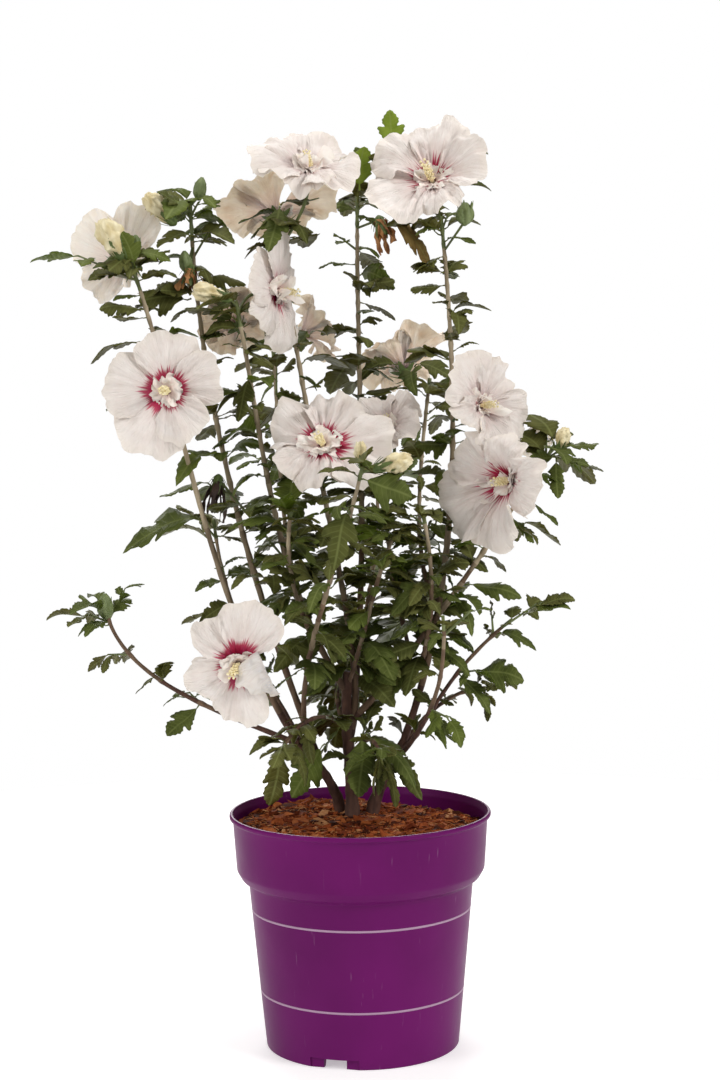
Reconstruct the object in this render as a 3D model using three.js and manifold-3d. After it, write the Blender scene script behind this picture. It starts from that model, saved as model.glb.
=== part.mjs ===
// A rose of sharon, Hibiscus syriacus, growing in its nursery pot.
// Millimetres, +Z up. The origin is the middle of the pot's underside, -Y is the plant's front.
import * as THREE from "three";
import { mergeVertices } from "three/addons/utils/BufferGeometryUtils.js";
import Module from "manifold-3d";

const wasm = await Module();
wasm.setup();

// ---- Driving dimensions ----

const gap = 0.35; // air between neighbouring solids

const potSize = {
  sides: 32,
  height: 213,
  lipRadius: 118,
  bandTopRadius: 116,
  bandFootRadius: 112.6,
  bandFoot: 151, // height at which the band rounds in to the body
  bandRound: 11,
  bodyRadius: 101.5,
  footRadius: 87.5,
  footWidth: 8.5,
  padRadius: 34,
  recess: 9, // the underside stands this much off the ground between pad and foot
  wall: 2.2,
};

const notchSize = {
  count: 3,
  firstAngle: -107, // degrees from +X, seen from above
  width: 45,
  drainWidth: 21, // the inner part, which goes right through the foot
  step: 4,
};

const soilSize = { flatRadius: 34, crown: 208, shoulderRadius: 95, shoulder: 204, edge: 202 };

const leafSize = {
  length: 58,
  youngLength: 38,
  lobeShare: 0.56, // of the leaf's length, as the next size is
  halfWidth: 0.31,
  keel: 1.5, // depth of the midrib under the blade
  sink: 0.4, // how far the root passes the stem's middle line
  free: 5, // from here on the blade is clear of its own cane's leaves
};

const growth = {
  nodeSpacing: 38,
  turn: 2.4, // radians from one leaf to the next round the stem
  pairSpacing: 6, // the smaller leaf of a pair stands this much higher
  twigShare: 0.33, // of the nodes that bear a side twig
  twigLength: 24,
  twigRadius: 1.3,
  twigLeaves: [[0.95, 0, 0.95], [0.8, 1.2, 0.75], [0.6, -1.2, 0.75]], // each: place on the twig, turn, size
  rosette: 4, // leaves close together below a shoot's tip
  rosetteSpacing: 6,
};

const bloomSize = {
  petals: 5,
  stepsPerPetal: 2,
  ringShare: 0.45,
  ringHeight: 0.2, // of the bloom's radius, as the next sizes are
  rimHeight: 0.3,
  ruffle: 0.07,
  notch: 0.15, // how far the edge falls in between two petals
  thickness: 1.6,
  tuftShare: 0.24, // of the bloom's radius, as the next two are
  tuftHeight: 0.12,
  columnHeight: 0.5,
  cupRadius: 6.5,
  cupLength: 20,
  stalkRadius: 1.5,
};

// Main stems rise from the soil. Points: foot, two that the curve bends towards, tip.
const trunks = [
  {
    name: "stem_left", radius: 5, tipRadius: 3.6,
    points: [[-16, 13, 198], [-20, 4, 245], [-40, -3, 256], [-62, -6, 280]],
  },
  {
    name: "stem_middle", radius: 6.2, tipRadius: 4.2,
    points: [[-7, -4, 198], [-6, 0, 256], [-14, 0, 299], [-9, 0, 340]],
  },
  {
    name: "stem_right", radius: 5.8, tipRadius: 4.2,
    points: [[8, 2, 198], [16, 2, 238], [30, 2, 254], [41, 3, 276]],
  },
];

// Canes grow from a main stem or from another cane. bare is the share of the length below the leaves.
const canes = [
  {
    name: "far_left", bare: 0.7, radius: 3.3,
    points: [[-55, -5, 276], [-136, -13, 410], [-147, -27, 567], [-195, -40, 713]],
  },
  {
    name: "left", bare: 0.3, radius: 3.3,
    points: [[-36, -1, 259], [-99, 3, 426], [-140, 6, 590], [-144, 10, 763]],
  },
  {
    name: "middle_left", bare: 0.22, radius: 3.2,
    points: [[-11, 0, 322], [-78, -12, 427], [-81, -21, 558], [-103, -30, 673]],
  },
  {
    name: "middle", bare: 0.26, radius: 3.4,
    points: [[-9, 0, 278], [18, 5, 345], [-54, 20, 560], [-63, 30, 738]],
  },
  {
    name: "right", bare: 0.3, radius: 3.6,
    points: [[38, 3, 270], [96, 6, 418], [94, 13, 587], [79, 20, 750]],
  },
  {
    name: "rear_middle", bare: 0.25, radius: 3.2,
    points: [[-3, 4, 318], [12, 38, 474], [1, 65, 625], [5, 90, 771]],
  },
  {
    name: "rear_left", bare: 0.3, radius: 2.6,
    points: [[-36, -6, 360], [-75, 50, 437], [-68, 91, 538], [-77, 120, 634]],
  },
  {
    name: "leaning_right", bare: 0.3, radius: 3.3,
    points: [[-4, 1, 297], [56, -15, 362], [117, -22, 455], [176, -30, 543]],
  },
  {
    name: "front", bare: 0.28, radius: 2.8,
    points: [[-40, -3, 262], [-72, -24, 326], [-10, -110, 450], [7, -120, 536]],
  },
  {
    name: "right_side", bare: 0.3, radius: 2.4,
    points: [[33, 2, 262], [66, -16, 294], [72, -8, 335], [138, -20, 388]],
  },
  {
    name: "left_side", bare: 0.3, radius: 2.6,
    points: [[-58, -6, 277], [-120, -12, 306], [-214, -15, 334], [-225, -20, 406]],
  },
  {
    name: "front_right", bare: 0.25, radius: 2.6,
    points: [[24, 2, 248], [48, -50, 285], [78, -112, 325], [72, -132, 405]],
  },
  {
    name: "back", bare: 0.25, radius: 2.8,
    points: [[-11, 0, 305], [0, 60, 360], [25, 130, 420], [20, 165, 520]],
  },
  {
    name: "back_left", bare: 0.25, radius: 2.5,
    points: [[-46, -4, 266], [-80, 60, 318], [-125, 100, 370], [-135, 115, 470]],
  },
  {
    name: "rear_right", bare: 0, radius: 2.1,
    points: [[71, 8, 402], [48, 60, 430], [62, 125, 530], [72, 150, 600]],
  },
  {
    name: "inner", bare: 0, radius: 2,
    points: [[45, -8, 364], [36, 30, 405], [25, 45, 455], [26, 38, 512]],
  },
  {
    name: "low_front_left", bare: 0, spacing: 22, radius: 2,
    points: [[-10, 0, 284], [-26, -30, 314], [-52, -64, 312], [-68, -84, 282]],
  },
  {
    name: "low_front", bare: 0, spacing: 22, radius: 2,
    points: [[-7, -1, 250], [0, -28, 284], [12, -62, 300], [20, -88, 276]],
  },
  {
    name: "low_right", bare: 0, spacing: 22, radius: 2,
    points: [[34, 3, 264], [60, 26, 300], [92, 34, 322], [122, 30, 318]],
  },
  {
    name: "low_back", bare: 0, spacing: 22, radius: 2,
    points: [[-12, 0, 286], [-26, 34, 320], [-20, 76, 336], [-4, 106, 322]],
  },
  {
    name: "heart", bare: 0, spacing: 26, radius: 2,
    points: [[-9, 0, 328], [6, -26, 372], [14, -44, 424], [34, -52, 470]],
  },
  {
    name: "heart_left", bare: 0, spacing: 28, radius: 2,
    points: [[-36, -6, 362], [-52, -34, 400], [-66, -50, 440], [-56, -56, 492]],
  },
  {
    name: "heart_right", bare: 0, spacing: 28, radius: 2,
    points: [[56, -3, 345], [66, -36, 380], [70, -52, 430], [58, -58, 486]],
  },
];

const tipRadius = 1.5;

// Each bloom: the cane that bears it, the share of the cane where its twig leaves, its throat and facing.
const blooms = [
  {
    name: "far_left_away", cane: "far_left", at: 0.955,
    throat: [-206, -2, 714], faces: [-0.35, 0.9, 0.1], radius: 46,
  },
  {
    name: "far_left_open", cane: "far_left", at: 0.6,
    throat: [-164, -58, 595], faces: [0.02, -0.99, 0.08], radius: 57,
  },
  {
    name: "left_low", cane: "far_left", at: 0.17,
    throat: [-102, -84, 364], faces: [-0.08, -0.98, -0.14], radius: 53,
  },
  {
    name: "top_left", cane: "middle", at: 0.975,
    throat: [-38, -8, 784], faces: [0.1, -0.62, 0.78], radius: 52,
  },
  {
    name: "top_left_away", cane: "middle", at: 0.93,
    throat: [-80, 58, 748], faces: [-0.1, 0.62, 0.78], radius: 54,
  },
  {
    name: "left_edge_on", cane: "middle_left", at: 0.97,
    throat: [-76, -2, 676], faces: [0.9, -0.42, 0.05], radius: 53,
  },
  {
    name: "inner_left_away", cane: "middle_left", at: 0.9,
    throat: [-112, 24, 655], faces: [-0.4, 0.8, 0.35], radius: 44,
  },
  {
    name: "rear_left_away", cane: "rear_left", at: 0.97,
    throat: [-34, 120, 650], faces: [0.5, 0.82, 0.2], radius: 44,
  },
  {
    name: "centre", cane: "middle", at: 0.58,
    throat: [-24, -50, 548], faces: [-0.22, -0.78, 0.58], radius: 60,
  },
  {
    name: "centre_small", cane: "inner", at: 0.97,
    throat: [38, -4, 545], faces: [0.15, -0.7, 0.7], radius: 36,
  },
  {
    name: "rear_right_away", cane: "rear_right", at: 0.97,
    throat: [46, 132, 622], faces: [-0.3, 0.85, 0.4], radius: 48,
  },
  {
    name: "top_right", cane: "right", at: 0.975,
    throat: [70, -14, 776], faces: [-0.15, -0.84, 0.52], radius: 58,
  },
  {
    name: "right_open", cane: "right", at: 0.62,
    throat: [116, -30, 588], faces: [0.52, -0.84, 0.12], radius: 48,
  },
  {
    name: "right_low_open", cane: "leaning_right", at: 0.8,
    throat: [124, -64, 512], faces: [-0.62, -0.76, 0.1], radius: 58,
  },
  {
    name: "right_tip_away", cane: "leaning_right", at: 0.93,
    throat: [160, 6, 546], faces: [-0.35, 0.7, 0.6], radius: 24,
  },
];

// Closed buds and spent blooms, each on a stalk from its cane.
const buds = [
  { cane: "far_left", at: 0.98, base: [-203, -52, 716], points: [-0.4, -0.3, 1], length: 38, radius: 10 },
  { cane: "left", at: 0.985, base: [-166, -6, 742], points: [-0.5, -0.3, 0.8], length: 34, radius: 8 },
  { cane: "left", at: 0.99, base: [-136, 4, 766], points: [0.2, -0.1, 0.97], length: 22, radius: 6 },
  { cane: "middle_left", at: 0.985, base: [-112, -40, 676], points: [-1, -0.2, 0.3], length: 34, radius: 8 },
  { cane: "middle_left", at: 0.35, base: [-110, -36, 474], points: [-0.3, -0.3, -1], length: 26, radius: 6 },
  { cane: "front", at: 0.985, base: [4, -118, 536], points: [-0.1, -0.1, 0.99], length: 26, radius: 5.5 },
  { cane: "front", at: 0.96, base: [22, -116, 534], points: [0.96, -0.1, 0.25], length: 32, radius: 8 },
  { cane: "leaning_right", at: 0.985, base: [180, -32, 546], points: [0.15, -0.1, 1], length: 30, radius: 8 },
  { cane: "right", at: 0.93, base: [98, 12, 732], points: [0.2, 0, 0.98], length: 24, radius: 8.5 },
  { cane: "left_side", at: 0.985, base: [-225, -20, 408], points: [0, -0.1, 1], length: 22, radius: 7 },
  { cane: "right_side", at: 0.985, base: [138, -20, 390], points: [0.1, 0, 1], length: 18, radius: 6 },
  { cane: "rear_middle", at: 0.93, base: [22, 58, 754], points: [0.1, -0.3, -0.95], length: 32, radius: 6 },
];

// Twigs that reach further than the rule's, out to the plant's widest and highest tips.
const farTwigs = [
  { cane: "far_left", at: 0.95, end: [-238, -48, 713], length: 46 },
  { cane: "right_side", at: 0.95, end: [160, -18, 401], length: 40 },
  { cane: "left_side", at: 0.92, end: [-241, -15, 397], length: 40 },
  { cane: "leaning_right", at: 0.95, end: [185, -28, 541], length: 34 },
  { cane: "right", at: 0.985, end: [50, 24, 784], length: 48 },
  { cane: "rear_middle", at: 0.985, end: [6, 88, 788], length: 36 },
];

// ---- Materials ----

const plastic = new THREE.MeshStandardMaterial({ color: 0x6d2469, roughness: 0.45, metalness: 0 });
const bark = new THREE.MeshStandardMaterial({ color: 0x6b4a38, roughness: 0.9, metalness: 0 });
const mulch = new THREE.MeshStandardMaterial({ color: 0x6a3a22, roughness: 1, metalness: 0 });
const greenery = new THREE.MeshStandardMaterial({ color: 0x3a5a2a, roughness: 0.6, metalness: 0 });
const petal = new THREE.MeshStandardMaterial({ color: 0xeadfe0, roughness: 0.7, metalness: 0 });

// ---- Helpers ----

const up = new THREE.Vector3(0, 0, 1);
const vector = (numbers) => new THREE.Vector3(...numbers);

// The same number from 0 to 1 each time, for one draw at one node of one cane.
function chance(cane, node, draw) {
  const mixed = Math.sin(cane * 12.9898 + node * 78.233 + draw * 37.719) * 43758.5453;
  return mixed - Math.floor(mixed);
}

function across(direction) {
  const side = Math.abs(direction.y) < 0.9 ? new THREE.Vector3(0, 1, 0) : new THREE.Vector3(1, 0, 0);
  return side.addScaledVector(direction, -side.dot(direction)).normalize();
}

function curveThrough(points) {
  return new THREE.CubicBezierCurve3(...points.map(vector));
}

function lengthOf(curve) {
  const steps = 24;
  let length = 0;
  for (let i = 1; i <= steps; i += 1) {
    length += curve.getPoint(i / steps).distanceTo(curve.getPoint((i - 1) / steps));
  }
  return length;
}

// A closed geometry with shared corners merged, as a solid that can be joined and cut.
function solid(geometry) {
  geometry.deleteAttribute("normal");
  geometry.deleteAttribute("uv");
  const merged = mergeVertices(geometry, 1e-4);
  const corners = merged.index.array;
  const faces = [];
  for (let i = 0; i < corners.length; i += 3) {
    const [a, b, c] = corners.slice(i, i + 3);
    if (a !== b && b !== c && c !== a) {
      faces.push(a, b, c);
    }
  }
  const mesh = new wasm.Mesh({
    numProp: 3,
    vertProperties: new Float32Array(merged.attributes.position.array),
    triVerts: new Uint32Array(faces),
  });
  return new wasm.Manifold(mesh);
}

function bent(geometry, place) {
  const spots = geometry.attributes.position;
  const spot = new THREE.Vector3();
  for (let i = 0; i < spots.count; i += 1) {
    spot.fromBufferAttribute(spots, i);
    spots.setXYZ(i, ...place(spot).toArray());
  }
  return geometry;
}

function turned(profile, sides) {
  const lathe = new THREE.LatheGeometry(profile.map(([r, z]) => new THREE.Vector2(r, z)), sides);
  return solid(lathe.rotateX(Math.PI / 2));
}

function meets(body, other) {
  const [a, b] = [body.boundingBox(), other.boundingBox()];
  const apart = [0, 1, 2].some((i) => a.min[i] > b.max[i] || b.min[i] > a.max[i]);
  return !apart && !body.intersect(other).isEmpty();
}

// ---- Pot and soil ----

function potWalls() {
  const { lipRadius, bandTopRadius, bandFootRadius, bodyRadius, footRadius, height, wall } = potSize;
  const { bandFoot, bandRound, padRadius, recess, footWidth } = potSize;
  const outside = [
    [0, 0],
    [padRadius, 0],
    [padRadius + 4, recess],
    [footRadius - footWidth - 3, recess],
    [footRadius - footWidth, 0],
    [footRadius, 0],
    [bodyRadius, bandFoot],
    [bandFootRadius - bandRound * 0.4, bandFoot + bandRound * 0.3],
    [bandFootRadius, bandFoot + bandRound],
    [bandTopRadius, height - 5],
    [lipRadius, height - 4],
    [lipRadius, height - 1],
    [lipRadius - 1, height],
  ];
  const inside = [
    [lipRadius - wall - 0.4, height],
    [bandTopRadius - wall, height - 6],
    [bandFootRadius - wall, bandFoot + bandRound],
    [bandFootRadius - bandRound * 0.4 - wall, bandFoot + bandRound * 0.3 + wall],
    [bodyRadius - wall, bandFoot + wall],
    [footRadius - wall, recess + wall],
    [padRadius + 3.4, recess + wall],
    [padRadius - 0.8, wall],
    [0, wall],
  ];
  return { outside, inside };
}

// Each notch is a wide step in the foot's face with a narrower drain behind it.
function notches() {
  const { count, firstAngle, width, drainWidth, step } = notchSize;
  const { footRadius, footWidth, recess } = potSize;
  const depthOutside = 10;
  const cuts = [];
  for (let i = 0; i < count; i += 1) {
    const angle = THREE.MathUtils.degToRad(firstAngle + (360 / count) * i);
    const stepLength = step + depthOutside;
    const drainLength = footWidth + 3 + depthOutside;
    const boxes = [
      [stepLength, width, footRadius - step],
      [drainLength, drainWidth, footRadius - footWidth - 3],
    ];
    for (const [length, breadth, start] of boxes) {
      const box = new THREE.BoxGeometry(length, breadth, recess * 2);
      box.translate(start + length / 2, 0, 0);
      cuts.push(solid(box.rotateZ(angle)));
    }
  }
  return cuts;
}

function pot() {
  const { outside, inside } = potWalls();
  const whole = turned([...outside, ...inside], potSize.sides);
  return notches().reduce((body, cut) => body.subtract(cut), whole);
}

function soil() {
  const { flatRadius, crown, shoulderRadius, shoulder, edge } = soilSize;
  const { inside } = potWalls();
  const buried = inside.slice(2).reverse();
  const fill = buried.map(([r, z]) => [Math.max(r - gap, 0), z + gap]);
  const edgeRadius = potSize.bandTopRadius - potSize.wall - gap - 0.5;
  const top = [[edgeRadius, edge], [shoulderRadius, shoulder], [flatRadius, crown], [0, crown]];
  return turned([...fill, ...top], potSize.sides);
}

// ---- Limbs ----

// A tapering rod bent along part of a curve, with a flat cut at both ends.
function limb({ curve, from, to, radiusAt, sides, steps }) {
  const rod = new THREE.CylinderGeometry(1, 1, 1, sides, steps);
  return solid(bent(rod, (spot) => {
    const share = from + (to - from) * (spot.y + 0.5);
    const along = curve.getTangent(share);
    const side = across(along);
    const other = new THREE.Vector3().crossVectors(side, along);
    return curve.getPoint(share)
      .addScaledVector(side, spot.x * radiusAt(share))
      .addScaledVector(other, spot.z * radiusAt(share));
  }));
}

// The limb and the same limb with the air around it, which its neighbours are cut by.
function limbWithAir(shape) {
  const air = gap / Math.cos(Math.PI / shape.sides);
  const share = gap / lengthOf(shape.curve);
  const from = Math.max(shape.from - share, 0);
  const to = Math.min(shape.to + share, 1);
  const fat = { ...shape, from, to, radiusAt: (at) => shape.radiusAt(at) + air };
  return { body: limb(shape), air: limb(fat) };
}

function stalk(start, end, radius) {
  const along = end.clone().sub(start);
  const rod = new THREE.CylinderGeometry(radius * 0.8, radius, along.length(), 3, 1);
  rod.translate(0, along.length() / 2, 0);
  const turn = new THREE.Quaternion().setFromUnitVectors(new THREE.Vector3(0, 1, 0), along.normalize());
  return solid(rod.applyQuaternion(turn).translate(...start.toArray()));
}

// ---- Leaves, buds and blooms ----

// A flat blade with a keel under it, pointed at both ends: root in the stem, widest across the lobes, tip.
function leaf({ root, out, length, droop, roll, slack = 0, start = -leafSize.sink }) {
  const { lobeShare, halfWidth, keel } = leafSize;
  const level = Math.abs(out.z) < 0.9 ? new THREE.Vector3().crossVectors(out, up).normalize() : across(out);
  const side = level.applyAxisAngle(out, roll);
  const top = new THREE.Vector3().crossVectors(side, out);
  const corner = Math.sin((Math.PI * 2) / 3); // how far the section's outer corners lie from its middle
  const reach = [start, length * lobeShare, length + slack];
  const blade = new THREE.SphereGeometry(1, 3, 2);
  return solid(bent(blade, (spot) => {
    const along = reach[Math.round(spot.y) + 1];
    return root.clone()
      .addScaledVector(out, along)
      .addScaledVector(up, (-droop * along * along) / length)
      .addScaledVector(side, (-spot.z / corner) * (length * halfWidth + slack))
      .addScaledVector(top, spot.x < 0 ? spot.x * (keel + slack) : slack);
  }));
}

// Turns a geometry that stands on the origin so that it stands on a base and points in a direction.
function aimed(geometry, base, direction) {
  const aim = new THREE.Quaternion().setFromUnitVectors(up, direction);
  return geometry.applyQuaternion(aim).translate(...base.toArray());
}

function bud({ base, points, length, radius }) {
  const profile = [[0, 0], [radius, length * 0.4], [radius * 0.6, length * 0.78], [0, length]];
  const lathe = new THREE.LatheGeometry(profile.map(([r, z]) => new THREE.Vector2(r, z)), 6);
  return solid(aimed(lathe.rotateX(Math.PI / 2), vector(base), vector(points).normalize()));
}

// Five petals as one dished and ruffled sheet whose edge falls in between them, with the green cup behind
// the throat, the tuft and column of small parts in front of it, and the twig that bears it all.
function bloom({ throat, faces, radius, at }, curve, number) {
  const { stepsPerPetal, ringShare, ringHeight, rimHeight, ruffle, notch, thickness } = bloomSize;
  const { tuftShare, tuftHeight, columnHeight, cupRadius, cupLength, stalkRadius } = bloomSize;
  const steps = bloomSize.petals * stepsPerPetal;
  const facing = vector(faces).normalize();
  const profile = [
    [0, -cupLength],
    [cupRadius, -cupLength * 0.4],
    [ringShare * radius, ringHeight * radius - thickness],
    [radius, rimHeight * radius],
    [ringShare * radius, ringHeight * radius],
    [tuftShare * radius, tuftHeight * radius],
    [0, columnHeight * radius],
  ];
  const sheet = new THREE.LatheGeometry(profile.map(([r, z]) => new THREE.Vector2(r, z)), steps);
  bent(sheet.rotateX(Math.PI / 2), (spot) => {
    if (Math.hypot(spot.x, spot.y) < radius * 0.9) {
      return spot;
    }
    const step = Math.round((Math.atan2(spot.y, spot.x) / (Math.PI * 2)) * steps + steps) % steps;
    const edge = step % stepsPerPetal === 0 ? 1 - notch : 1;
    const wave = ruffle * radius * (chance(number, step, 2) * 2 - 1);
    return new THREE.Vector3(spot.x * edge, spot.y * edge, spot.z + wave);
  });
  const cupFoot = vector(throat).addScaledVector(facing, -cupLength * 0.8);
  const flower = solid(aimed(sheet, vector(throat), facing));
  return flower.add(stalk(curve.getPoint(at), cupFoot, stalkRadius));
}

// ---- Growing the plant ----

const built = []; // pieces in the order that they are made, each with the solids that it is joined from
const limbAirs = []; // the solids of main stems, boughs and foliage stems, each with the air round it

function largest(body) {
  return body.decompose().sort((a, b) => b.volume() - a.volume())[0];
}

// Cuts a body clear of every limb that was made before it.
function clearOfLimbs(body) {
  const touched = limbAirs.filter((air) => meets(body, air));
  return touched.length === 0 ? body : largest(touched.reduce((left, air) => left.subtract(air), body));
}

function addLimb(name, shape, material, ground) {
  const { body, air } = limbWithAir(shape);
  const clear = clearOfLimbs(ground ? body.subtract(ground) : body);
  limbAirs.push(air);
  built.push({ name, material, parts: [clear] });
}

function touchesAnother(body, own) {
  return built.some(({ name, parts }) => name !== own && parts.some((part) => meets(body, part)));
}

function caneRadius({ radius }) {
  return (share) => radius + (tipRadius - radius) * share ** 0.8;
}

// One leaf, if there is room for it and the air round it.
function placeLeaf(foliage, shape) {
  const blade = leaf({ ...shape, start: leafSize.free });
  const bladeInAir = leaf({ ...shape, slack: gap });
  if (foliage.parts.some((part) => meets(blade, part)) || touchesAnother(bladeInAir, foliage.name)) {
    return false;
  }
  foliage.parts.push(leaf(shape));
  return true;
}

// A short twig with three leaves at its end, which are left out one by one where there is no room.
function placeTwig(foliage, { root, end, length, droop, roll }) {
  if (touchesAnother(stalk(root, end, growth.twigRadius + gap), foliage.name)) {
    return false;
  }
  foliage.parts.push(stalk(root, end, growth.twigRadius));
  const reach = end.clone().sub(root).normalize();
  for (const [at, turn, size] of growth.twigLeaves) {
    const out = reach.clone().applyAxisAngle(up, turn).addScaledVector(up, -0.3).normalize();
    const leafRoot = root.clone().lerp(end, at);
    placeLeaf(foliage, { root: leafRoot, out, length: length * size, droop, roll: roll * size });
  }
  return true;
}

// A spray at one node: either a leaf with a smaller one beside it, or a leafy twig.
function placeSpray(foliage, cane, number, node, share, swing) {
  const root = cane.curve.getPoint(share);
  const along = cane.curve.getTangent(share);
  const side = across(along);
  const other = new THREE.Vector3().crossVectors(side, along);
  const draw = (index) => chance(number, node, index);
  const angle = node * growth.turn + (draw(3) - 0.5) * 0.8 + swing;
  const outward = (turn, rise) => side.clone().multiplyScalar(Math.cos(angle + turn) * Math.cos(rise))
    .addScaledVector(other, Math.sin(angle + turn) * Math.cos(rise))
    .addScaledVector(along, Math.sin(rise));
  const age = (1 - share) / (1 - cane.bare);
  const { length: oldLength, youngLength } = leafSize;
  const length = (youngLength + (oldLength - youngLength) * age) * (0.85 + 0.3 * draw(4));
  const droop = 0.3 + 0.5 * draw(5);
  const roll = (draw(6) - 0.5) * 0.9;
  if (draw(1) >= growth.twigShare) {
    const main = placeLeaf(foliage, { root, out: outward(0, 0.5), length, droop, roll });
    const higher = cane.curve.getPoint(Math.min(share + growth.pairSpacing / lengthOf(cane.curve), 1));
    placeLeaf(foliage, { root: higher, out: outward(2.1, 0.6), length: length * 0.65, droop, roll: -roll });
    return main;
  }
  const end = root.clone().addScaledVector(outward(0, 0.65), growth.twigLength * (0.7 + 0.8 * draw(2)));
  return placeTwig(foliage, { root, end, length, droop, roll });
}

function growFoliage(foliage, cane, number) {
  for (const { at, end, length } of farTwigs.filter((row) => row.cane === cane.name)) {
    placeTwig(foliage, { root: cane.curve.getPoint(at), end: vector(end), length, droop: 0.2, roll: 0.5 });
  }
  const leafy = lengthOf(cane.curve) * (1 - cane.bare);
  const nodes = Math.round(leafy / (cane.spacing ?? growth.nodeSpacing));
  for (let node = 0; node < nodes; node += 1) {
    const share = cane.bare + ((1 - cane.bare) * (node + 0.6)) / nodes;
    [0, 0.8, -0.8].some((swing) => placeSpray(foliage, cane, number, node, share, swing));
  }
  for (let i = 0; i < growth.rosette; i += 1) {
    const share = 0.995 - (i * growth.rosetteSpacing) / lengthOf(cane.curve);
    const along = cane.curve.getTangent(share);
    const out = across(along).applyAxisAngle(along, i * growth.turn + chance(number, 90, i));
    out.addScaledVector(along, 0.3 + 0.6 * chance(number, 91, i)).normalize();
    const length = leafSize.youngLength * (0.8 + 0.6 * chance(number, 92, i));
    placeLeaf(foliage, { root: cane.curve.getPoint(share), out, length, droop: 0.25, roll: 0 });
  }
}

built.push({ name: "pot", material: plastic, parts: [pot()] });
built.push({ name: "soil", material: mulch, parts: [soil()] });

const ground = solid(new THREE.BoxGeometry(200, 200, 100).translate(0, 0, soilSize.crown + gap - 50));
for (const { name, radius, tipRadius: thin, points } of trunks) {
  const flare = (share) => 1 + 0.3 * Math.exp(-share * 12);
  const radiusAt = (share) => (radius + (thin - radius) * share) * flare(share);
  const shape = { curve: curveThrough(points), from: 0, to: 1, radiusAt, sides: 8, steps: 6 };
  addLimb(name, shape, bark, ground);
}

for (const cane of canes) {
  cane.curve = curveThrough(cane.points);
}
for (const cane of canes.filter(({ bare }) => bare > 0)) {
  const radiusAt = caneRadius(cane);
  const shape = { curve: cane.curve, from: 0, to: cane.bare, radiusAt, sides: 5, steps: 4 };
  addLimb(`bough_${cane.name}`, shape, bark);
}
for (const cane of canes) {
  const steps = Math.ceil((lengthOf(cane.curve) * (1 - cane.bare)) / 80);
  const radiusAt = caneRadius(cane);
  const shape = { curve: cane.curve, from: cane.bare, to: 1, radiusAt, sides: 3, steps };
  addLimb(`foliage_${cane.name}`, shape, greenery);
}

blooms.forEach((shape, number) => {
  const { curve } = canes.find(({ name }) => name === shape.cane);
  const body = clearOfLimbs(bloom(shape, curve, number));
  built.push({ name: `bloom_${shape.name}`, material: petal, parts: [body] });
});

for (const shape of buds) {
  const foliage = built.find(({ name }) => name === `foliage_${shape.cane}`);
  const { curve } = canes.find(({ name }) => name === shape.cane);
  const end = vector(shape.base).addScaledVector(vector(shape.points).normalize(), shape.length * 0.15);
  const parts = [bud(shape), stalk(curve.getPoint(shape.at), end, growth.twigRadius)];
  if (!parts.some((part) => touchesAnother(part, foliage.name))) {
    foliage.parts.push(...parts);
  }
}

canes.forEach((cane, number) => {
  growFoliage(built.find(({ name }) => name === `foliage_${cane.name}`), cane, number);
});

// ---- The finished part ----

const roseOfSharon = new THREE.Group();
for (const { name, material, parts } of built) {
  const { vertProperties, triVerts } = largest(wasm.Manifold.union(parts)).getMesh();
  const geometry = new THREE.BufferGeometry();
  geometry.setAttribute("position", new THREE.BufferAttribute(vertProperties, 3));
  geometry.setIndex(new THREE.BufferAttribute(triVerts, 1));
  const mesh = new THREE.Mesh(geometry, material);
  mesh.name = name;
  roseOfSharon.add(mesh);
}

export default roseOfSharon;
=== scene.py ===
# A rose of sharon in flower, growing in its purple nursery pot.
# Metres, +Z up. The origin is the middle of the pot's underside, -Y is the plant's front.
import math
import random

import bmesh
import bpy
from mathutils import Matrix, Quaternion, Vector, noise


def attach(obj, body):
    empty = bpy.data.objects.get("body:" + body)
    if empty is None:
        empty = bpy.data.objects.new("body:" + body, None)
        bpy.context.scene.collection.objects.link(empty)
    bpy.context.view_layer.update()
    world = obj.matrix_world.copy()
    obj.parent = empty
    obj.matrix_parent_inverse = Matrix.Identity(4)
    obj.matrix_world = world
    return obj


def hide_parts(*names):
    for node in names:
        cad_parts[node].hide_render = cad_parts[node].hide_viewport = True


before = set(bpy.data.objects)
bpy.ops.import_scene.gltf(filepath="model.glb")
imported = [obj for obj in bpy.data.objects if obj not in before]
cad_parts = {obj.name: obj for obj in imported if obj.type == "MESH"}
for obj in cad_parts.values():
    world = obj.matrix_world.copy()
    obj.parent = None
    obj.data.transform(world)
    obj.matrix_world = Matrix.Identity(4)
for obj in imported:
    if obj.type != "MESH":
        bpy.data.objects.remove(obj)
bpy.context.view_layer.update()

mm = 0.001
upward = Vector((0, 0, 1))
fullTurn = 2 * math.pi
nextTurn = 2.4  # radians from one leaf, blade or anther to the next round its stem


def place(numbers):
    return Vector(numbers) * mm


def pointing(numbers):
    return Vector(numbers).normalized()


def circleSpot(angle, reach):
    return math.cos(angle) * reach, math.sin(angle) * reach


def around(angle, reach=1.0, height=0.0):
    return Vector((*circleSpot(angle, reach), height))


# A number from 0 to 1 that stays the same from run to run.
def chance(which, part, draw):
    mixed = math.sin(which * 12.9898 + part * 78.233 + draw * 37.719) * 43758.5453
    return mixed - math.floor(mixed)


def chances(which, part, count):
    return [chance(which, part, draw) for draw in range(count)]


# A smooth pattern from about -1 to 1.
def ripple(x, y, z):
    return noise.noise(Vector((x, y, z)))


# A direction at right angles to the given one.
def across(direction):
    side = Vector((0, 1, 0)) if abs(direction.y) < 0.9 else Vector((1, 0, 0))
    return (side - direction * side.dot(direction)).normalized()


def turnedAbout(vector, axis, angle):
    return Quaternion(axis, angle) @ vector


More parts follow.
